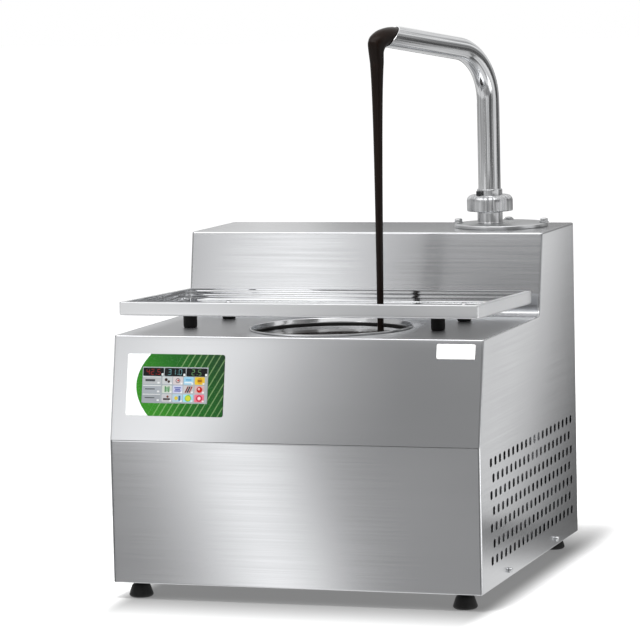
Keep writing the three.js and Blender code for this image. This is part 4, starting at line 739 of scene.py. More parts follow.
# Rubber buffers under the pan, each with its pan-head screw on the tray's floor, all turned from a profile
def trayBuffers():
    t, f, s = tray, trayFeet, trayScrew
    for corner, (x, y) in f["places"].items():
        under = t["top"] - t["height"] / cos(t["tilt"]) - (y - t["front"]) * tan(t["tilt"])
        top = under - f["radius"] * tan(t["tilt"]) - f["gap"]
        profile = rounded([(0, f["bottom"]), (f["radius"] - 0.4, f["bottom"]), (f["radius"], f["bottom"] + 4),
                           (f["radius"], top), (f["stud"], top), (f["stud"], under + f["studOut"]),
                           (0, under + f["studOut"])], [0, 1.6, 1.0, 0.9, 0.1, 0.1, 0], steps=4)
        buffer = turned("tray_buffer_" + corner, profile, footRubber, "tray", (x, y), f["sides"])
        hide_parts("tray_foot_" + corner)
        seat = under + t["sheet"] + f["gap"]
        head = rounded([(0, seat), (s["radius"], seat), (s["radius"], seat + s["flank"]),
                        (s["crown"], seat + s["crownOut"]), (0, seat + s["out"])], [0, 0.2, 1.0, 1.0, 0], steps=4)
        turned("tray_screw_" + corner, head, buffedScrew, "tray", (x, y), s["sides"])


trayPan()
trayBuffers()
print("tray built")

# Outlet and union on the tower

pumpAxis = (156.5, 185.0)
outlet = {"flangeCentre": (172.0, 188.0), "flangeRadius": 66.5, "flangeLow": 472.3, "flangeHigh": 477.3,
          "sides": 96, "boltCircle": 62.0, "boltAngles": (5, 95, 185), "boltHeads": (4.9, 2.2, 4.9)}
bolt = {"low": 460.5, "shank": 3.0, "washer": 6.9, "washerHigh": 1.2, "head": 5.7, "headTop": 4.7,
        "sides": 32, "headSides": 48}
union = {"bore": 14.5, "neck": 18.0, "neckLow": 477.6, "thread": 27.0, "threadLow": 494.1, "threadHigh": 503.6,
         "nut": 33.3, "nutLow": 494.6, "nutHigh": 517.8, "throat": 18.7, "linerLow": 506.2,
         "shoulder": 25.0, "shoulderHigh": 512.2, "collar": 18.2, "collarHigh": 526.2, "linerBore": 16.3,
         "sides": 72}
spannerSlots = {"depth": 3.0, "halfAngle": 0.13, "steepness": 90, "turn": 0.5, "margin": 5.5, "fade": 4.0,
                "sides": 192}
lockingPin = {"place": (pumpAxis[0] - 10.6, pumpAxis[1] - 20.9), "radius": 3.4, "below": 1.0, "above": 6.4,
              "sides": 32}


# Radii of a hexagon: the flat's distance over the cosine of the angle from the flat's middle
def hexagon(radius, angle):
    return radius * (cos(pi / 6) / np.cos((angle % (pi / 3)) - pi / 6))


# Four slots round a nut: outer points draw in by a logistic step of the angle from the slot's middle.
def slotted(radius, angle):
    s = spannerSlots
    arc = (angle + s["turn"]) % (pi / 2) - pi / 4
    depth = s["depth"] / (1 + np.exp((np.abs(arc) - s["halfAngle"]) * s["steepness"]))
    return radius - depth * np.clip((radius - (union["nut"] - s["margin"])) / s["fade"], 0, 1)


# The disc and its bolts are turned profiles. The disc's bore stands off its centre, so the inner ends of the
# profile move over to the pump's axis.
def outletFlange():
    o, u = outlet, union
    disc = rounded([(u["bore"], o["flangeLow"]), (o["flangeRadius"], o["flangeLow"]),
                    (o["flangeRadius"], o["flangeHigh"]), (u["bore"], o["flangeHigh"])],
                   [0, 0.5, 2.2, 0], steps=5)
    profile = np.vstack([disc, disc[:1]])
    centre = np.where(profile[:, :1] > u["bore"] + 1, np.array([o["flangeCentre"]]), np.array([pumpAxis]))
    plateDisc = turned("flange_disc", profile, turnedStainless, "casing", centre, o["sides"])
    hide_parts("outlet_flange")
    b = bolt
    seat = o["flangeHigh"] + 0.3
    low = seat + b["washerHigh"]
    for number, (degrees, rise) in enumerate(zip(o["boltAngles"], o["boltHeads"]), 1):
        at = (o["flangeCentre"][0] + o["boltCircle"] * cos(radians(degrees)),
              o["flangeCentre"][1] + o["boltCircle"] * sin(radians(degrees)))
        shank = rounded([(0, b["low"]), (b["shank"], b["low"]), (b["shank"], seat), (b["washer"], seat),
                         (b["washer"], low), (0, low)], [0, 0.4, 0.1, 0.3, 0.3, 0], steps=3)
        shankPiece = turned(f"bolt_shank_{number}", shank, buffedScrew, "casing", at, b["sides"])
        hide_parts(f"flange_bolt_{number}")
        high = low + rise
        head = rounded([(0, low), (b["head"], low), (b["head"], high - 0.9), (b["headTop"], high), (0, high)],
                       [0, 0.1, 0.5, 0.5, 0], steps=2)
        turned(f"bolt_head_{number}", head, buffedScrew, "casing", at, b["headSides"], smooth=25, shape=hexagon)


# The union, all turned profiles: a plain neck with a threaded collar, a slotted round nut with a black locking pin
# on its shoulder, and the liner that the nut holds down
def outletUnion():
    u = union
    neck = rounded([
        (u["bore"], u["neckLow"]), (u["neck"] + 0.6, u["neckLow"]), (u["neck"], u["neckLow"] + 1.4),
        (u["neck"], u["threadLow"] - 1.6), (u["neck"] + 1.2, u["threadLow"]), (u["thread"], u["threadLow"]),
        (u["thread"], u["threadHigh"]), (u["bore"], u["threadHigh"]),
    ], [0, 0.2, 0.5, 0.8, 0.4, 0.8, 0.6, 0], steps=4)
    piece = turned("outlet_neck_tube", neck, unionStainless, "casing", pumpAxis, u["sides"], closed=True)
    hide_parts("outlet_neck")
    inside = u["thread"] + 0.5
    nut = rounded([
        (inside, u["nutLow"]), (u["nut"] - 1.2, u["nutLow"]), (u["nut"], u["nutLow"] + 1.2),
        (u["nut"], u["nutHigh"] - 5.0), (u["nut"] - 5.0, u["nutHigh"]), (u["throat"], u["nutHigh"]),
        (u["throat"], u["shoulderHigh"] + 0.3), (inside, u["shoulderHigh"] + 0.3),
    ], [0.4, 0.8, 1.0, 3.5, 3.0, 0.6, 0.3, 0.3], steps=5, closed=True)
    nutPiece = turned("slotted_union_nut", nut, unionStainless, "nut", pumpAxis, spannerSlots["sides"], closed=True,
                      shape=slotted)
    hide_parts("union_nut")
    p = lockingPin
    low, high = u["nutHigh"] - p["below"], u["nutHigh"] + p["above"]
    pin = rounded([(0, low), (p["radius"], low), (p["radius"], high), (0, high)], [0, 0.4, 1.2, 0], steps=4)
    turned("nut_locking_pin", pin, blackPolyamide, "nut", p["place"], p["sides"])
    liner = rounded([
        (u["linerBore"], u["linerLow"]), (u["shoulder"], u["linerLow"]), (u["shoulder"], u["shoulderHigh"]),
        (u["collar"], u["shoulderHigh"]), (u["collar"], u["collarHigh"] - 0.8),
        (u["collar"] - 0.8, u["collarHigh"]), (u["linerBore"], u["collarHigh"]),
    ], [0.2, 0.5, 0.5, 0.4, 0.5, 0.4, 0.2], steps=3, closed=True)
    piece = turned("spout_collar", liner, unionStainless, "spout", pumpAxis, u["sides"], closed=True)
    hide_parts("spout_liner")


outletFlange()
outletUnion()
print("outlet and union built")

# Spout and falling chocolate

spout = {"outer": 16.0, "inner": 14.5, "low": 506.2, "bendStart": 652.0, "bend": 77.0, "rise": radians(8.2),
         "heading": radians(22.9), "mouthReach": 209.0, "slant": radians(45), "bow": 5.0, "reachOn": 5.0,
         "lip": 0.35, "riseRows": 6, "bendRows": 39, "armRows": 13, "leanFrom": 0.6, "sides": 72}
spoutOut = np.array([-sin(spout["heading"]), -cos(spout["heading"]), 0])
spoutAcross = np.cross(spoutOut, [0, 0, 1])
upwards = np.array([0, 0, 1.0])
bendSweep = pi / 2 - spout["rise"]
armStart = (spout["bend"] * (1 - cos(bendSweep)), spout["bendStart"] + spout["bend"] * sin(bendSweep))
mouthHeight = armStart[1] + (spout["mouthReach"] - armStart[0]) * tan(spout["rise"])


# A place in the spout's upright plane: distance out from the pump's axis, height, and across the plane
def inPlane(out, height, across=0.0):
    out, height, across = (np.asarray(value, float)[..., None] for value in (out, height, across))
    return np.array([*pumpAxis, 0]) + out * spoutOut + height * upwards + across * spoutAcross


# The tube is a circle carried up, round the bend and along the arm. Near the mouth each ring leans further and
# reaches on by the lean's cube, until the last one lies in the slanted cut, whose flanks bow forward by the
# squared cosine.
def spoutPipe():
    s = spout
    turn = np.linspace(0, bendSweep, s["bendRows"] + 1)[1:]
    upright = np.zeros(s["riseRows"])
    rise = np.column_stack([upright, np.linspace(s["low"], s["bendStart"], s["riseRows"])])
    bend = np.column_stack([s["bend"] * (1 - np.cos(turn)), s["bendStart"] + s["bend"] * np.sin(turn)])
    armLength = (s["mouthReach"] - armStart[0]) / cos(s["rise"])
    lengths = np.linspace(0, armLength, s["armRows"] + 1)[1:]
    arm = np.column_stack([armStart[0] + lengths * cos(s["rise"]), armStart[1] + lengths * sin(s["rise"])])
    path = np.vstack([rise, bend, arm])
    heading = np.concatenate([upright, turn, np.full(s["armRows"], bendSweep)])
    leaning = np.clip((lengths / armLength - s["leanFrom"]) / (1 - s["leanFrom"]), 0, 1)
    lean = np.concatenate([upright, 0 * turn, leaning])
    angle = circleAngles(s["sides"])

    def rings(radius, shift=0.0):
        side = radius * np.cos(angle)[None]
        above = radius * np.sin(angle)[None]
        # the cut makes the upper side shorter: a point above the arm's line ends sooner
        back = above * tan(bendSweep - s["slant"]) * lean[:, None] + shift * (lean[:, None] == 1)
        back = back - (s["reachOn"] + s["bow"] * np.cos(angle)[None] ** 2) * lean[:, None] ** 3
        out = path[:, :1] - above * np.cos(heading)[:, None] - back * np.sin(heading)[:, None]
        up = path[:, 1:] + above * np.sin(heading)[:, None] - back * np.cos(heading)[:, None]
        return inPlane(out, up, np.broadcast_to(side, out.shape))

    outer = rings(s["outer"])
    lip = rings((s["outer"] + s["inner"]) / 2, -s["lip"])[-1:]
    inner = rings(s["inner"])[::-1]
    points = np.concatenate([outer, lip, inner, outer[:1]])
    step = np.linalg.norm(np.diff(np.vstack([path, path[-1:], path[::-1], path[:1]]), axis=0), axis=1)
    along = np.concatenate([[0], np.cumsum(step)])
    around = np.arange(s["sides"] + 1) * 2 * pi * s["outer"] / s["sides"]
    grid = (len(step), s["sides"])
    low, high = (np.broadcast_to(edge[:, None], grid) for edge in (along[:-1], along[1:]))
    near, far = (np.broadcast_to(edge[None], grid) for edge in (around[:-1], around[1:]))
    unrolled = np.stack([np.stack([near, low], -1), np.stack([far, low], -1), np.stack([far, high], -1),
                         np.stack([near, high], -1)], axis=-2)
    faces = gridFaces(len(points), s["sides"], wrap=True)
    pipe = makePiece("swan_neck_spout", points, faces, drawnTube, "spout", smooth=40, unrolled=unrolled)
    # the cut wall is deburred, and its near-white steel is a painted highlight along the mouth's rim
    pipe.data.materials.append(paintedHighlightEdge)
    ring = np.arange(len(faces)) // s["sides"]
    cutWall = (ring >= len(path) - 1) & (ring <= len(path))
    pipe.data.polygons.foreach_set("material_index", cutWall.astype(np.int32))
    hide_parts("spout_pipe")


# A curve through given rows, smooth at each of them (Catmull-Rom)
def smoothRows(rows, steps):
    padded = np.vstack([2 * rows[0] - rows[1], rows, 2 * rows[-1] - rows[-2]])
    t = np.linspace(0, 1, steps, endpoint=False)[None, :, None]
    a, b, c, d = (padded[i:len(padded) - 3 + i, None] for i in range(4))
    curve = 0.5 * (2 * b + (c - a) * t + (2 * a - 5 * b + 4 * c - d) * t ** 2 + (3 * b - a - 3 * c + d) * t ** 3)
    return np.vstack([curve.reshape(-1, rows.shape[1]), rows[-1:]])


stream = {"reach": 243.7, "drift": 4.0, "top": 9.7, "neckLength": 45.0, "neckPower": 0.35, "columnTop": 715.0,
          "foot": 344.8, "footRise": 3.0, "splash": 2.2, "clear": 0.45, "columnRows": 16, "rowPower": 1.6,
          "sides": 48}


# Rows give the outer point, the inner point, the half width and the flanks' bow of the falling chocolate. Its
# head is measured in pipe radii from the mouth's centre, and its column thins by a power of the height fallen.
def chocolateStream():
    s, w = spout, stream
    radius = s["outer"]
    reach = s["inner"] - w["clear"]
    lip = reach / radius / cos(bendSweep - s["slant"])
    bow = s["bow"] / radius
    head = np.array([
        [-lip * cos(s["slant"]), lip * sin(s["slant"]), lip * cos(s["slant"]), -lip * sin(s["slant"]),
         reach / radius, bow],
        [0.15, 0.86, 1.0, -0.74, 0.88, bow], [0.9, 0.81, 1.2, -0.8, 0.87, bow * 0.4],
        [1.8, 0.62, 1.35, -0.9, 0.81, 0], [2.56, 0.24, 1.44, -1.04, 0.76, 0], [2.9, -0.16, 1.5, -1.22, 0.7, 0],
        [3.0, -0.6, 1.54, -1.47, 0.65, 0],
    ]) * radius
    head[:, [0, 2]] += s["mouthReach"]
    head[:, [1, 3]] += mouthHeight
    head[0, [0, 2]] += s["lip"] + s["reachOn"] * cos(s["rise"])
    head[0, [1, 3]] += s["reachOn"] * sin(s["rise"])
    share = np.linspace(0, 1, w["columnRows"]) ** w["rowPower"]
    height = w["columnTop"] + (w["foot"] + w["footRise"] - w["columnTop"]) * share
    size = w["top"] * (1 + (w["columnTop"] - height) / w["neckLength"]) ** -w["neckPower"]
    axis = w["reach"] + w["drift"] * share
    column = np.column_stack([axis + size, height, axis - size, height, size, 0 * size])
    last = column[-1].copy()
    last[[1, 3]] = w["foot"]
    last[[0, 2, 4]] += [w["splash"], -w["splash"], w["splash"]]
    rows = smoothRows(np.vstack([head, column, last]), 6)
    angle = circleAngles(w["sides"])
    middle, half = (rows[:, :2] + rows[:, 2:4]) / 2, (rows[:, :2] - rows[:, 2:4]) / 2
    out = middle[:, :1] + half[:, :1] * np.cos(angle) + rows[:, 5:] * np.sin(angle) ** 2
    up = middle[:, 1:] + half[:, 1:] * np.cos(angle)
    across = rows[:, 4:5] * np.sin(angle)
    points = inPlane(out, up, across)
    faces = gridFaces(len(points), w["sides"], wrap=True, capFirst=True, capLast=True)
    flow = makePiece("falling_chocolate", points, faces, chocolate, "spout")
    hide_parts("chocolate_stream")


spoutPipe()
chocolateStream()
print("spout and falling chocolate built")

# Control panel on the slope

panelPlace = {"x": -168.5, "up": 75.5, "width": 139.0, "height": 84.0, "corner": 3.0, "out": 1.3,
              "screenWidth": 94.0, "screenHeight": 48.5, "screenOut": 1.7, "glassDepth": 9.0, "seat": 0.3,
              "tileLift": 0.04, "layerLift": 0.05, "tileFilm": 0.03, "dim": 0.66}
badge = {"x": 222.5, "up": 126.0, "width": 53.0, "height": 20.0, "corner": 2.0, "thickness": 1.0}


printSheet = {"across": (-238, -99), "up": (250, 332), "edge": 0.1, "bow": 0.55, "bandLean": 0.35, "bands": 95.0,
              "bandEdge": 0.82, "bandMiddle": 0.72, "bandShare": 0.22,
              "leaf": {0.15: "#2b7a13", 0.6: "#0a520c", 0.95: "#03300a"}, "band": "#bfe3a0", "silver": "#eceeee"}


# Printed polyester sheet: leaf green that deepens to the right, with a pale silver field on the left behind a
# bowed edge and fine pale bands that climb across the green.
def overlayPrint():
    s = printSheet
    settings = {"Roughness": 0.3, "Specular IOR Level": 0.25}
    material, tree, shader = startMaterial("Polyester_sheet_printed", settings)
    place = addNode(tree, "ShaderNodeTexCoord")
    split = addNode(tree, "ShaderNodeSeparateXYZ", links={"Vector": place.outputs["Object"]})

    def measured(socket, low, high):
        return addNode(tree, "ShaderNodeMapRange", {"From Min": low * mm, "From Max": high * mm},
                       {"Value": split.outputs[socket]})

    def math(kind, first, second):
        settings, links = {"operation": kind}, {}
        for slot, value in enumerate((first, second)):
            if isinstance(value, (int, float)):
                settings[slot] = value
            else:
                links[slot] = value
        return addNode(tree, "ShaderNodeMath", settings, links)

    def blend(factor, first, second):
        node = addNode(tree, "ShaderNodeMix", {"data_type": "RGBA"}, {0: factor})
        for slot, value in ((6, first), (7, second)):
            if isinstance(value, tuple):
                node.inputs[slot].default_value = value
            else:
                join(tree, value, node, slot)
        return node.outputs[2]

    across = measured("X", *s["across"])
    up = measured("Z", *s["up"])
    deepen = math("ADD", math("MULTIPLY", across, 0.75), math("MULTIPLY", up, 0.25))
    green = shadeRamp(tree, deepen, [(position, linear(shade)) for position, shade in s["leaf"].items()])
    bow = math("SUBTRACT", up, 0.5)
    edge = math("ADD", s["edge"], math("MULTIPLY", math("MULTIPLY", bow, bow), s["bow"]))
    silver = math("LESS_THAN", across, edge)
    line = math("SUBTRACT", across, math("MULTIPLY", up, s["bandLean"]))
    bands = math("GREATER_THAN", math("SINE", math("MULTIPLY", line, s["bands"]), 0.0), s["bandEdge"])
    inBand = math("MULTIPLY", bands, math("COMPARE", line, s["bandMiddle"]))
    colour = blend(math("MULTIPLY", inBand, s["bandShare"]), green, linear(s["band"]))
    join(tree, blend(silver, colour, linear(s["silver"])), shader, "Base Color")
    vary(tree, shader, "Roughness", grainNoise(tree, (2, 2, 2)), 0.2, 0.3)
    return material


# The screen under its glass: a lit grey ground, faintly uneven
def screenGlass():
    settings = {"Roughness": 0.08, "Coat Weight": 0.6, "Coat Roughness": 0.03, "Emission Strength": 0.12,
                "Emission Color": linear("#aab2b6")}
    material, tree, shader = startMaterial("Display_glass_lit", settings)
    tint(tree, shader, grainNoise(tree, (60, 60, 60)), "#7f8689", "#90979a")
    vary(tree, shader, "Roughness", grainNoise(tree, (3, 3, 3)), 0.06, 0.1)
    return material


# Screen colours come from each tile's own attribute.
def screenInk():
    settings = {"Roughness": 0.3, "Specular IOR Level": 0.15, "Emission Strength": 0.08}
    material, tree, shader = startMaterial("Display_pixels_lit", settings)
    ink = addNode(tree, "ShaderNodeAttribute", {"attribute_name": "ink"})
    for socket in ("Base Color", "Emission Color"):
        join(tree, ink, shader, socket)
    vary(tree, shader, "Roughness", grainNoise(tree, (3, 3, 3)), 0.1, 0.18)
    return material


# Segments of a seven-bar figure as middle and half size, in shares of its height
figureBars = {
    "top": (0, 0.5, 0.24, 0.05), "middle": (0, 0, 0.22, 0.05), "bottom": (0, -0.5, 0.24, 0.05),
    "upperLeft": (-0.27, 0.25, 0.05, 0.22), "upperRight": (0.27, 0.25, 0.05, 0.22),
    "lowerLeft": (-0.27, -0.25, 0.05, 0.22), "lowerRight": (0.27, -0.25, 0.05, 0.22),
}
figures = {
    "2": ("top", "upperRight", "middle", "lowerLeft", "bottom"),
    "3": ("top", "upperRight", "middle", "lowerRight", "bottom"),
    "1": ("upperRight", "lowerRight"), "5": ("top", "upperLeft", "middle", "lowerRight", "bottom"),
    "0": ("top", "upperLeft", "upperRight", "lowerLeft", "lowerRight", "bottom"),
    "4": ("upperLeft", "upperRight", "middle", "lowerRight"),
}


# Everything drawn on the screen, as shapes in millimetres from its middle: kind, place, size, colour, layer
def screenDrawing():
    shapes = []
    columns = [(-46.0, -16.4), (-15.4, 15.0), (16.0, 46.0)]
    for (left, right), value, colour in zip(columns, ("42.5", "31.0", "2.5"), ("#a32a26", "#6fa3a8", "#6c9a66")):
        shapes.append(("box", (left + right) / 2, 17.6, (right - left) / 2, 5.6, "#0b0e10", 0))
        x = (left + right) / 2 - 2.6 * (len(value) - 1)
        for symbol in value:
            if symbol == ".":
                shapes.append(("box", x - 0.6, 14.6, 0.5, 0.5, colour, 1))
                x += 3.0
                continue
            for bar in figures[symbol]:
                cx, cy, w, h = figureBars[bar]
                shapes.append(("box", x + cx * 7, 17.6 + cy * 7, w * 7, h * 7, colour, 1))
            x += 6.2
        shapes.append(("box", right - 1.8, 14.2, 1.4, 1.6, "#e8eceb", 1))
    rowMiddles = (6.2, -5.6, -17.4)
    tileMiddles = (-11.0, 4.3, 19.6, 35.6)
    for row, y in enumerate(rowMiddles):
        shapes.append(("box", -33.0, y, 13.0, 5.2, ("#b9bdbf", "#aab0b6", "#a3a8ad")[row], 0))
        shapes.append(("box", -33.0, y + 4.6, 12.6, 0.5, "#e6e8e9", 1))
        shapes.append(("box", -35.5, y, 7.0, (1.5, 0.6, 0.6)[row], "#4a4e52", 1))
        shapes.append(("box", -23.5, y - 3.2, 1.6, 1.2, "#e8eaeb", 1))
    ground = [["#c9cdcf", "#d8cfd0", "#9fd3ee", "#e9c53a"], ["#cfd6cc", "#c9cde6", "#c8c4c4", "#d6b2b0"],
              ["#c7c6ca", "#b5cfe0", "#9ddcf0", "#ee7f95"]]
    for row, y in enumerate(rowMiddles):
        for column, x in enumerate(tileMiddles):
            shapes.append(("box", x, y, 7.0, 5.2, ground[row][column], 0))
            shapes.append(("box", x + 5.4, y - 3.8, 1.3, 1.1, "#eef0f0", 1))
    a, b, c = rowMiddles
    p, q, r, s = tileMiddles
    shapes += [
        ("disc", p - 1.6, a + 1.0, 2.2, 2.2, "#3b2a24", 1), ("disc", p + 2.2, a - 1.4, 1.8, 1.8, "#3b2a24", 1),
        ("ring", q, a, 3.4, 3.4, "#7d6f72", 1), ("disc", q + 0.4, a + 0.2, 1.4, 1.4, "#c0504a", 1),
        ("box", r, a - 2.4, 5.6, 1.0, "#e8f6fb", 1), ("box", r, a + 1.2, 4.0, 0.8, "#5fa6cf", 1),
        ("disc", s, a, 3.9, 3.9, "#d99a1c", 1), ("box", s, a, 2.6, 0.8, "#5a3a12", 2),
        ("box", p - 2.4, b, 0.9, 3.9, "#3f8a4c", 1), ("box", p + 0.2, b, 0.9, 3.2, "#58a564", 1),
        ("box", p + 2.8, b, 0.9, 3.9, "#3f8a4c", 1),
        ("box", q, b + 2.2, 4.6, 0.7, "#4f5aa6", 1), ("box", q, b, 3.4, 0.7, "#4f5aa6", 1),
        ("box", q, b - 2.2, 4.6, 0.7, "#4f5aa6", 1),
        ("slash", r - 2.2, b, 1.0, 4.2, "#7a1f1f", 1), ("slash", r + 0.6, b, 1.0, 4.2, "#2c2c30", 1),
        ("slash", r + 3.4, b, 1.0, 4.2, "#a8443c", 1),
        ("disc", s, b, 4.1, 4.1, "#c3211c", 1), ("disc", s - 0.8, b + 0.8, 1.6, 1.6, "#f0c9c4", 2),
        ("box", p, c - 1.6, 5.0, 1.2, "#3a3436", 1), ("disc", p + 1.4, c + 1.8, 1.7, 1.7, "#7b4a3a", 1),
        ("disc", q - 1.6, c, 2.6, 2.6, "#d8c23a", 1), ("box", q + 3.2, c, 1.4, 3.4, "#3f6f9a", 1),
        ("disc", r, c, 3.4, 3.4, "#d7d93a", 1), ("ring", r, c, 4.6, 4.6, "#8ec63f", 1),
        ("ring", s, c, 4.4, 4.4, "#c9142c", 1), ("disc", s, c, 1.9, 1.9, "#fbe3e6", 1),
    ]
    return shapes


# Outlines of one drawn shape: a rectangle, a leaning one, a disc, or a ring as outer and inner loop
def shapeLoops(kind, w, h):
    if kind == "box":
        return [roundedLoop(-w, w, -h, h, min(w, h) * 0.25, 3)]
    if kind == "slash":
        loop = roundedLoop(-w, w, -h, h, min(w, h) * 0.2, 3)
        return [loop + np.column_stack([loop[:, 1] * 0.45, np.zeros(len(loop))])]
    angle = circleAngles(24)
    circle = np.column_stack([np.cos(angle), np.sin(angle)]) * (w, h)
    return [circle] if kind == "disc" else [circle, circle * 0.68]


# Each drawn shape is a flat outline laid on the slope, a little higher for each layer.
def screenTiles():
    p = panelPlace
    points, faces, colours = [], [], []
    for kind, x, up, w, h, colour, layer in screenDrawing():
        loops = shapeLoops(kind, w, h)
        out = p["screenOut"] + p["tileLift"] + p["layerLift"] * layer
        start = pointCount(points)
        count = len(loops[0])
        for loop in loops:
            points.append(onSlope(p["x"] + x + loop[:, 0], p["up"] + up + loop[:, 1], out))
        colours += [tuple(p["dim"] * share for share in linear(colour)[:3]) + (1,)] * (count * len(loops))
        if len(loops) == 1:
            faces.append(list(range(start, start + count)))
        else:
            faces += gridFaces(2, count, wrap=True, start=start)
    tiles = makePiece("screen_tiles", np.vstack(points), faces, screenInk(), "casing",
                      facing=(0, -cos(slopeTilt), sin(slopeTilt)))
    thicken(tiles, "film", p["tileFilm"])
    ink = tiles.data.color_attributes.new("ink", "FLOAT_COLOR", "POINT")
    ink.data.foreach_set("color", np.array(colours, float).ravel())


# The printed sheet is a rounded outline with the screen's window, the glass and the blank badge are plates.
def controlPanel():
    p = panelPlace
    size = (p["x"] - p["width"] / 2, p["x"] + p["width"] / 2, p["up"] - p["height"] / 2, p["up"] + p["height"] / 2)
    rows = [(0, p["seat"]), (0, 1.0), (0.3, p["out"])]
    loops = [roundedLoop(size[0] + i, size[1] - i, size[2] + i, size[3] - i, p["corner"]) for i, _ in rows]
    w, h = p["screenWidth"] / 2 + 0.3, p["screenHeight"] / 2 + 0.3
    window = roundedLoop(p["x"] - w, p["x"] + w, p["up"] - h, p["up"] + h, 0.3)
    heights = [out for _, out in rows] + [p["out"], p["seat"], p["seat"]]
    loops += [window, window, loops[0]]
    points = np.array([onSlope(loop[:, 0], loop[:, 1], out) for loop, out in zip(loops, heights)])
    sheet = makePiece("printed_control_sheet", points, gridFaces(len(loops), points.shape[1], wrap=True),
                      overlayPrint(), "casing")
    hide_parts("control_overlay")
    w, h = p["screenWidth"] / 2, p["screenHeight"] / 2

    def onScreen(x, up, out):
        return onSlope(x, up, out + p["screenOut"] - p["glassDepth"])

    glass = plate("touch_glass", (p["x"] - w, p["x"] + w, p["up"] - h, p["up"] + h), 0.6, p["glassDepth"], 0.35,
                  onScreen, screenGlass(), "casing")
    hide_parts("touch_display")

    def onBadge(x, up, out):
        return onSlope(x, up, out + p["seat"])

    b = badge
    w, h = b["width"] / 2, b["height"] / 2
    blank = plate("blank_badge", (b["x"] - w, b["x"] + w, b["up"] - h, b["up"] + h), b["corner"], b["thickness"],
                  0.3, onBadge, blankLabel, "casing")
    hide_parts("badge_plate")


controlPanel()
screenTiles()
print("control panel built")

# Mains socket and switch

softenedNode("power_inlet", 0.5, blackPolyamide, "casing")
softenedNode("rocker_switch", 0.4, blackPolyamide, "rocker", 3)

# Studio: pale floor with a painted shadow at the footprint, soft lamps, cards that only reflections see, the camera

# centre, half and fade place a painted shadow round the casing's footprint, where the floor's colour and glow are
# darker
studio = {"floorSize": 60.0, "centre": (0.012, -0.005, 0), "half": (0.238, 0.205, 1), "fade": (0.06, 0.36, 1),
          "paintedShadowGlow": 0.16, "glowFar": 0.75, "paintedShadowPaper": 0.12, "paperFar": 0.8, "worldLight": 0.32}


def stageQuad(name, corners):
    mesh = bpy.data.meshes.new(name)
    mesh.from_pydata([tuple(corner) for corner in corners], [], [(0, 1, 2, 3)])
    return addObject(name, mesh)


# Is 1 for the rays that the eye follows, from the camera, mirrored or let through, and 0 for the others.
def seenRays(tree):
    rays = addNode(tree, "ShaderNodeLightPath").outputs
    seen = rays["Is Camera Ray"]
    for kind in ("Is Glossy Ray", "Is Transmission Ray"):
        seen = addNode(tree, "ShaderNodeMath", {"operation": "MAXIMUM"}, {0: seen, 1: rays[kind]})
    return seen


# The floor keeps the object's shadow from the lamps, and a painted shadow lies round the footprint: the floor is
# painted grey beside it and white a little further out. Towards the camera and in reflections it also glows
# there, less beside the footprint, so that it is as white as the background away from the painted shadow.
def studioFloor():
    half = studio["floorSize"] / 2
    floor = stageQuad("studio_floor", [(-half, -half, 0), (half, -half, 0), (half, half, 0), (-half, half, 0)])
    material, tree, shader = startMaterial("Paper_floor_white", {"Roughness": 0.9, "Emission Color": (1, 1, 1, 1)})
    # distance outside the casing's footprint, counted in widths of the painted shadow's soft edge along x and y
    place = addNode(tree, "ShaderNodeTexCoord").outputs["Object"]
    for operation, amount in (("SUBTRACT", studio["centre"]), ("ABSOLUTE", None), ("SUBTRACT", studio["half"]),
                              ("MAXIMUM", (0, 0, 0)), ("DIVIDE", studio["fade"])):
        settings = {"operation": operation} if amount is None else {"operation": operation, 1: amount}
        place = addNode(tree, "ShaderNodeVectorMath", settings, {0: place})
    away = addNode(tree, "ShaderNodeVectorMath", {"operation": "LENGTH"}, {0: place})
    share, shadowedFloorColour = (addNode(tree, "ShaderNodeMapRange", {
        "interpolation_type": "SMOOTHSTEP", "From Min": 0.0, "From Max": 1.0, "To Min": studio[low],
        "To Max": studio[high]}, {"Value": away.outputs["Value"]})
        for low, high in (("paintedShadowGlow", "glowFar"), ("paintedShadowPaper", "paperFar")))
    join(tree, shadowedFloorColour, shader, "Base Color")
    glow = addNode(tree, "ShaderNodeMath", {"operation": "MULTIPLY"}, {0: seenRays(tree), 1: share})
    join(tree, glow, shader, "Emission Strength")
    floor.data.materials.append(material)
    floor.visible_glossy = False


def studioWorld():
    world = bpy.data.worlds.new("studio")
    bpy.context.scene.world = world
    tree = emptyTree(world)
    strength = addNode(tree, "ShaderNodeMapRange", {"To Min": studio["worldLight"], "To Max": 1.0},
                       {"Value": seenRays(tree)})
    sky = addNode(tree, "ShaderNodeBackground", {"Color": (1, 1, 1, 1)}, {"Strength": strength})
    addNode(tree, "ShaderNodeOutputWorld", links={"Surface": sky})


lamps = {
    "key": {"at": (-1.8, -2.6, 2.6), "size": 1.6, "watts": 40},
    "fill": {"at": (2.6, -1.6, 1.8), "size": 1.8, "watts": 8},
    "top": {"at": (-0.1, -0.9, 3.0), "size": 0.8, "watts": 100},
}


def studioLamps():
    for name, setting in lamps.items():
        light = bpy.data.lights.new(name, "AREA")
        light.shape = "DISK"
        light.size = setting["size"]
        light.energy = setting["watts"]
        lamp = addObject(name, light)
        lamp.location = setting["at"]
        aim = Vector((0, 0, 0.3)) - Vector(setting["at"])
        lamp.rotation_euler = aim.to_track_quat("-Z", "Y").to_euler()
        lamp.visible_glossy = False


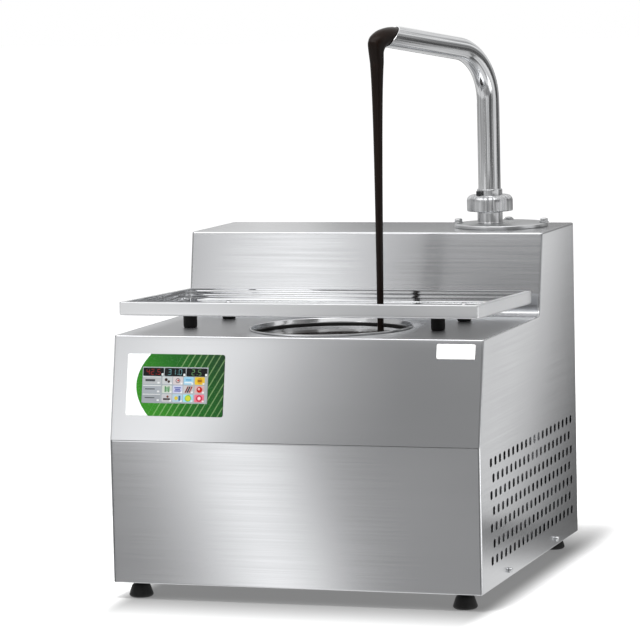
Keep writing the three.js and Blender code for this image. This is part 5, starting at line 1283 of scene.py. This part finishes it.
# Cards that only reflections see, each placed by the mirror law for the camera's side: a corner, two edges, and the
# light at shares of the first edge. The lower front's card stands 0.54 m before the casing, the slope's 0.24 m,
# the tower's and the one left of the pipe 1.14 m, the right side's behind its rear edge, and the bright ones draw
# the lines along the folds.
cards = {
    "for_lower_front": ((-1.3, -0.8, -0.3), (2.0, 0, 0), (-0.13, 0, 0.53), (
        (0.0, 0.4), (0.475, 0.4), (0.52, 0.9), (0.555, 1.75), (0.575, 1.75), (0.605, 1.15), (0.635, 0.5),
        (0.66, 0.42), (1.0, 0.42))),
    "for_slope": ((-1.186, -0.5, 0.2), (1.879, 0, 0), (0.098, 0, 0.3), (
        (0.0, 0.85), (0.37, 1.0), (0.41, 1.15), (0.44, 1.33), (0.47, 1.43), (0.5, 1.25), (0.53, 0.94),
        (0.565, 0.63), (0.6, 0.46), (0.64, 0.38), (1.0, 0.36))),
    "for_tray_front": ((-0.3, -0.3, 0.376), (0.62, 0, 0), (0, 0, 0.04), (
        (0.0, 1.0), (0.19, 0.99), (0.27, 0.95), (0.345, 0.88), (0.49, 0.77), (0.565, 0.71), (0.64, 0.63),
        (0.71, 0.62), (0.78, 0.67), (1.0, 0.72))),
    "for_tower": ((-1.603, -1.4, 0.7), (2.22, 0, 0), (0, 0, 0.25), (
        (0.0, 0.25), (0.35, 0.32), (0.415, 2.3), (0.475, 2.3), (0.52, 0.35), (0.56, 0.22), (1.0, 0.24))),
    "for_right_side": ((0.204, 0.45, -0.5), (0.8, 0, 0), (-0.2, 0, 0.96), (
        (0.0, 0.13), (0.3, 0.15), (0.34, 0.35), (0.37, 0.38), (0.43, 1.05), (0.47, 1.0), (0.52, 0.85),
        (1.0, 0.85))),
    "for_tower_top": ((-1.0, 0.8, 0.38), (1.6, 0, 0), (0, 0, 0.24), (
        (0.0, 0.6), (0.3, 0.6), (0.375, 0.8), (0.42, 0.7), (0.46, 0.42), (0.5, 0.28), (1.0, 0.3))),
    "for_pipe_left": ((0.1, -1.4, 0.38), (-1.45, 0, 0), (0, 0, 0.31), (
        (0.0, 0.45), (0.3, 0.5), (0.6, 0.5), (1.0, 0.6))),
    "for_pipe": ((0.58, -0.8, 0.4), (0.77, 0.52, 0), (0, 0, 0.95), (
        (0.0, 0.2), (0.3, 0.17), (0.7, 0.3), (1.0, 0.4))),
    "right_of_pipe": ((1.0, 0.4, -0.6), (0, 0, 2.2), (0, 1.2, 0), (
        (0.0, 0.5), (0.2, 0.3), (0.38, 0.22), (0.45, 0.4), (0.49, 0.12), (0.56, 0.08), (0.6, 0.2), (0.64, 0.28),
        (0.7, 0.5), (0.76, 0.8), (0.82, 1.4), (0.88, 0.7), (1.0, 0.7))),
    "left_of_pipe": ((-0.9, -1.2, 0.45), (0, 1.9, 0), (0, 0, 0.75), (
        (0.0, 0.55), (0.3, 0.5), (0.36, 0.75), (0.42, 0.5), (0.7, 0.6), (1.0, 0.45))),
    # the two under the tray are painted shade: the tray's underside as the deck mirrors it
    "under_tray_left": ((-0.25, -0.222, 0.3745), (0.15, 0, 0), (0, 0.26, 0), (
        (0.0, 0.62), (1.0, 0.5))),
    "under_tray_right": ((0.122, -0.222, 0.3745), (0.13, 0, 0), (0, 0.26, 0), (
        (0.0, 0.3), (1.0, 0.3))),
    # a painted shadow on the floor beside the right side, as the casing and its screws mirror it
    "shaded_floor": ((0.262, -0.34, 0.002), (0, 0.9, 0), (0.6, 0, 0), (
        (0.0, 0.9), (0.42, 0.9), (0.6, 0.42), (0.75, 0.2), (1.0, 0.16))),
    "behind_right": ((-0.1, 1.0, -0.4), (1.7, 0, 0), (0, 0, 1.2), (
        (0.0, 1.0), (0.12, 0.75), (0.2, 0.5), (1.0, 0.6))),
    "bright_right": ((1.3, -0.95, -0.2), (0.25, 0.6, 0), (0, 0, 0.5), (
        (0.0, 3.0), (1.0, 3.0))),
    "bright_above": ((-1.2, -1.3, 1.7), (2.4, 0, 0), (0, 1.0, 0.25), (
        (0.0, 3.0), (1.0, 3.0))),
}
cardCuts = {"for_right_side": (0.0725, 0.3225)}  # shares of the first edge cut off low and high
brightest = 3.0  # shade that a ramp's full colour stands for


def reflectionCards():
    for name, (*vectors, shades) in cards.items():
        corner, edge, rise = (np.array(vector) for vector in vectors)
        low, high = cardCuts.get(name, (0, 0))
        places = [(low, 0), (1, 0), (1, 1), (high, 1)]
        board = stageQuad("card_" + name, [corner + across * edge + up * rise for across, up in places])
        board.data.uv_layers.new(name="card").data.foreach_set("uv", np.ravel(places))
        material = bpy.data.materials.new("Card_grey_" + name)
        tree = emptyTree(material)
        place = addNode(tree, "ShaderNodeUVMap", {"uv_map": "card"})
        split = addNode(tree, "ShaderNodeSeparateXYZ", links={"Vector": place})
        ramp = shadeRamp(tree, split.outputs["X"], [(at, (shade / brightest,) * 3 + (1,)) for at, shade in shades])
        glow = addNode(tree, "ShaderNodeEmission", {"Strength": brightest}, {"Color": ramp})
        addNode(tree, "ShaderNodeOutputMaterial", links={"Surface": glow})
        board.data.materials.append(material)
        board.visible_camera = False
        board.visible_diffuse = False
        board.visible_shadow = False
        board.visible_transmission = False


# The camera stands where the photograph was taken: place in metres, turn and lean in degrees.
cameraPlace = {"at": (1.4544, -4.5324, 0.8534), "yaw": 18.27, "pitch": 5.96, "roll": -1.33, "lens": 192.8}


def studioCamera():
    c = cameraPlace
    yaw, pitch, roll = (radians(c[key]) for key in ("yaw", "pitch", "roll"))
    ahead = Vector((-sin(yaw) * cos(pitch), cos(yaw) * cos(pitch), -sin(pitch)))
    right = Vector((cos(yaw), sin(yaw), 0))
    above = right.cross(ahead)
    side = right * cos(roll) + above * sin(roll)
    top = above * cos(roll) - right * sin(roll)
    data = bpy.data.cameras.new("photo_camera")
    data.lens = c["lens"]
    data.sensor_width = 36
    data.clip_end = 200
    camera = addObject("photo_camera", data)
    turn = Matrix((side, top, -ahead)).transposed().to_4x4()
    camera.matrix_world = Matrix.Translation(c["at"]) @ turn
    bpy.context.scene.camera = camera


studioFloor()
studioWorld()
studioLamps()
reflectionCards()
studioCamera()
bpy.context.scene.view_settings.view_transform = "Standard"
print("studio set")
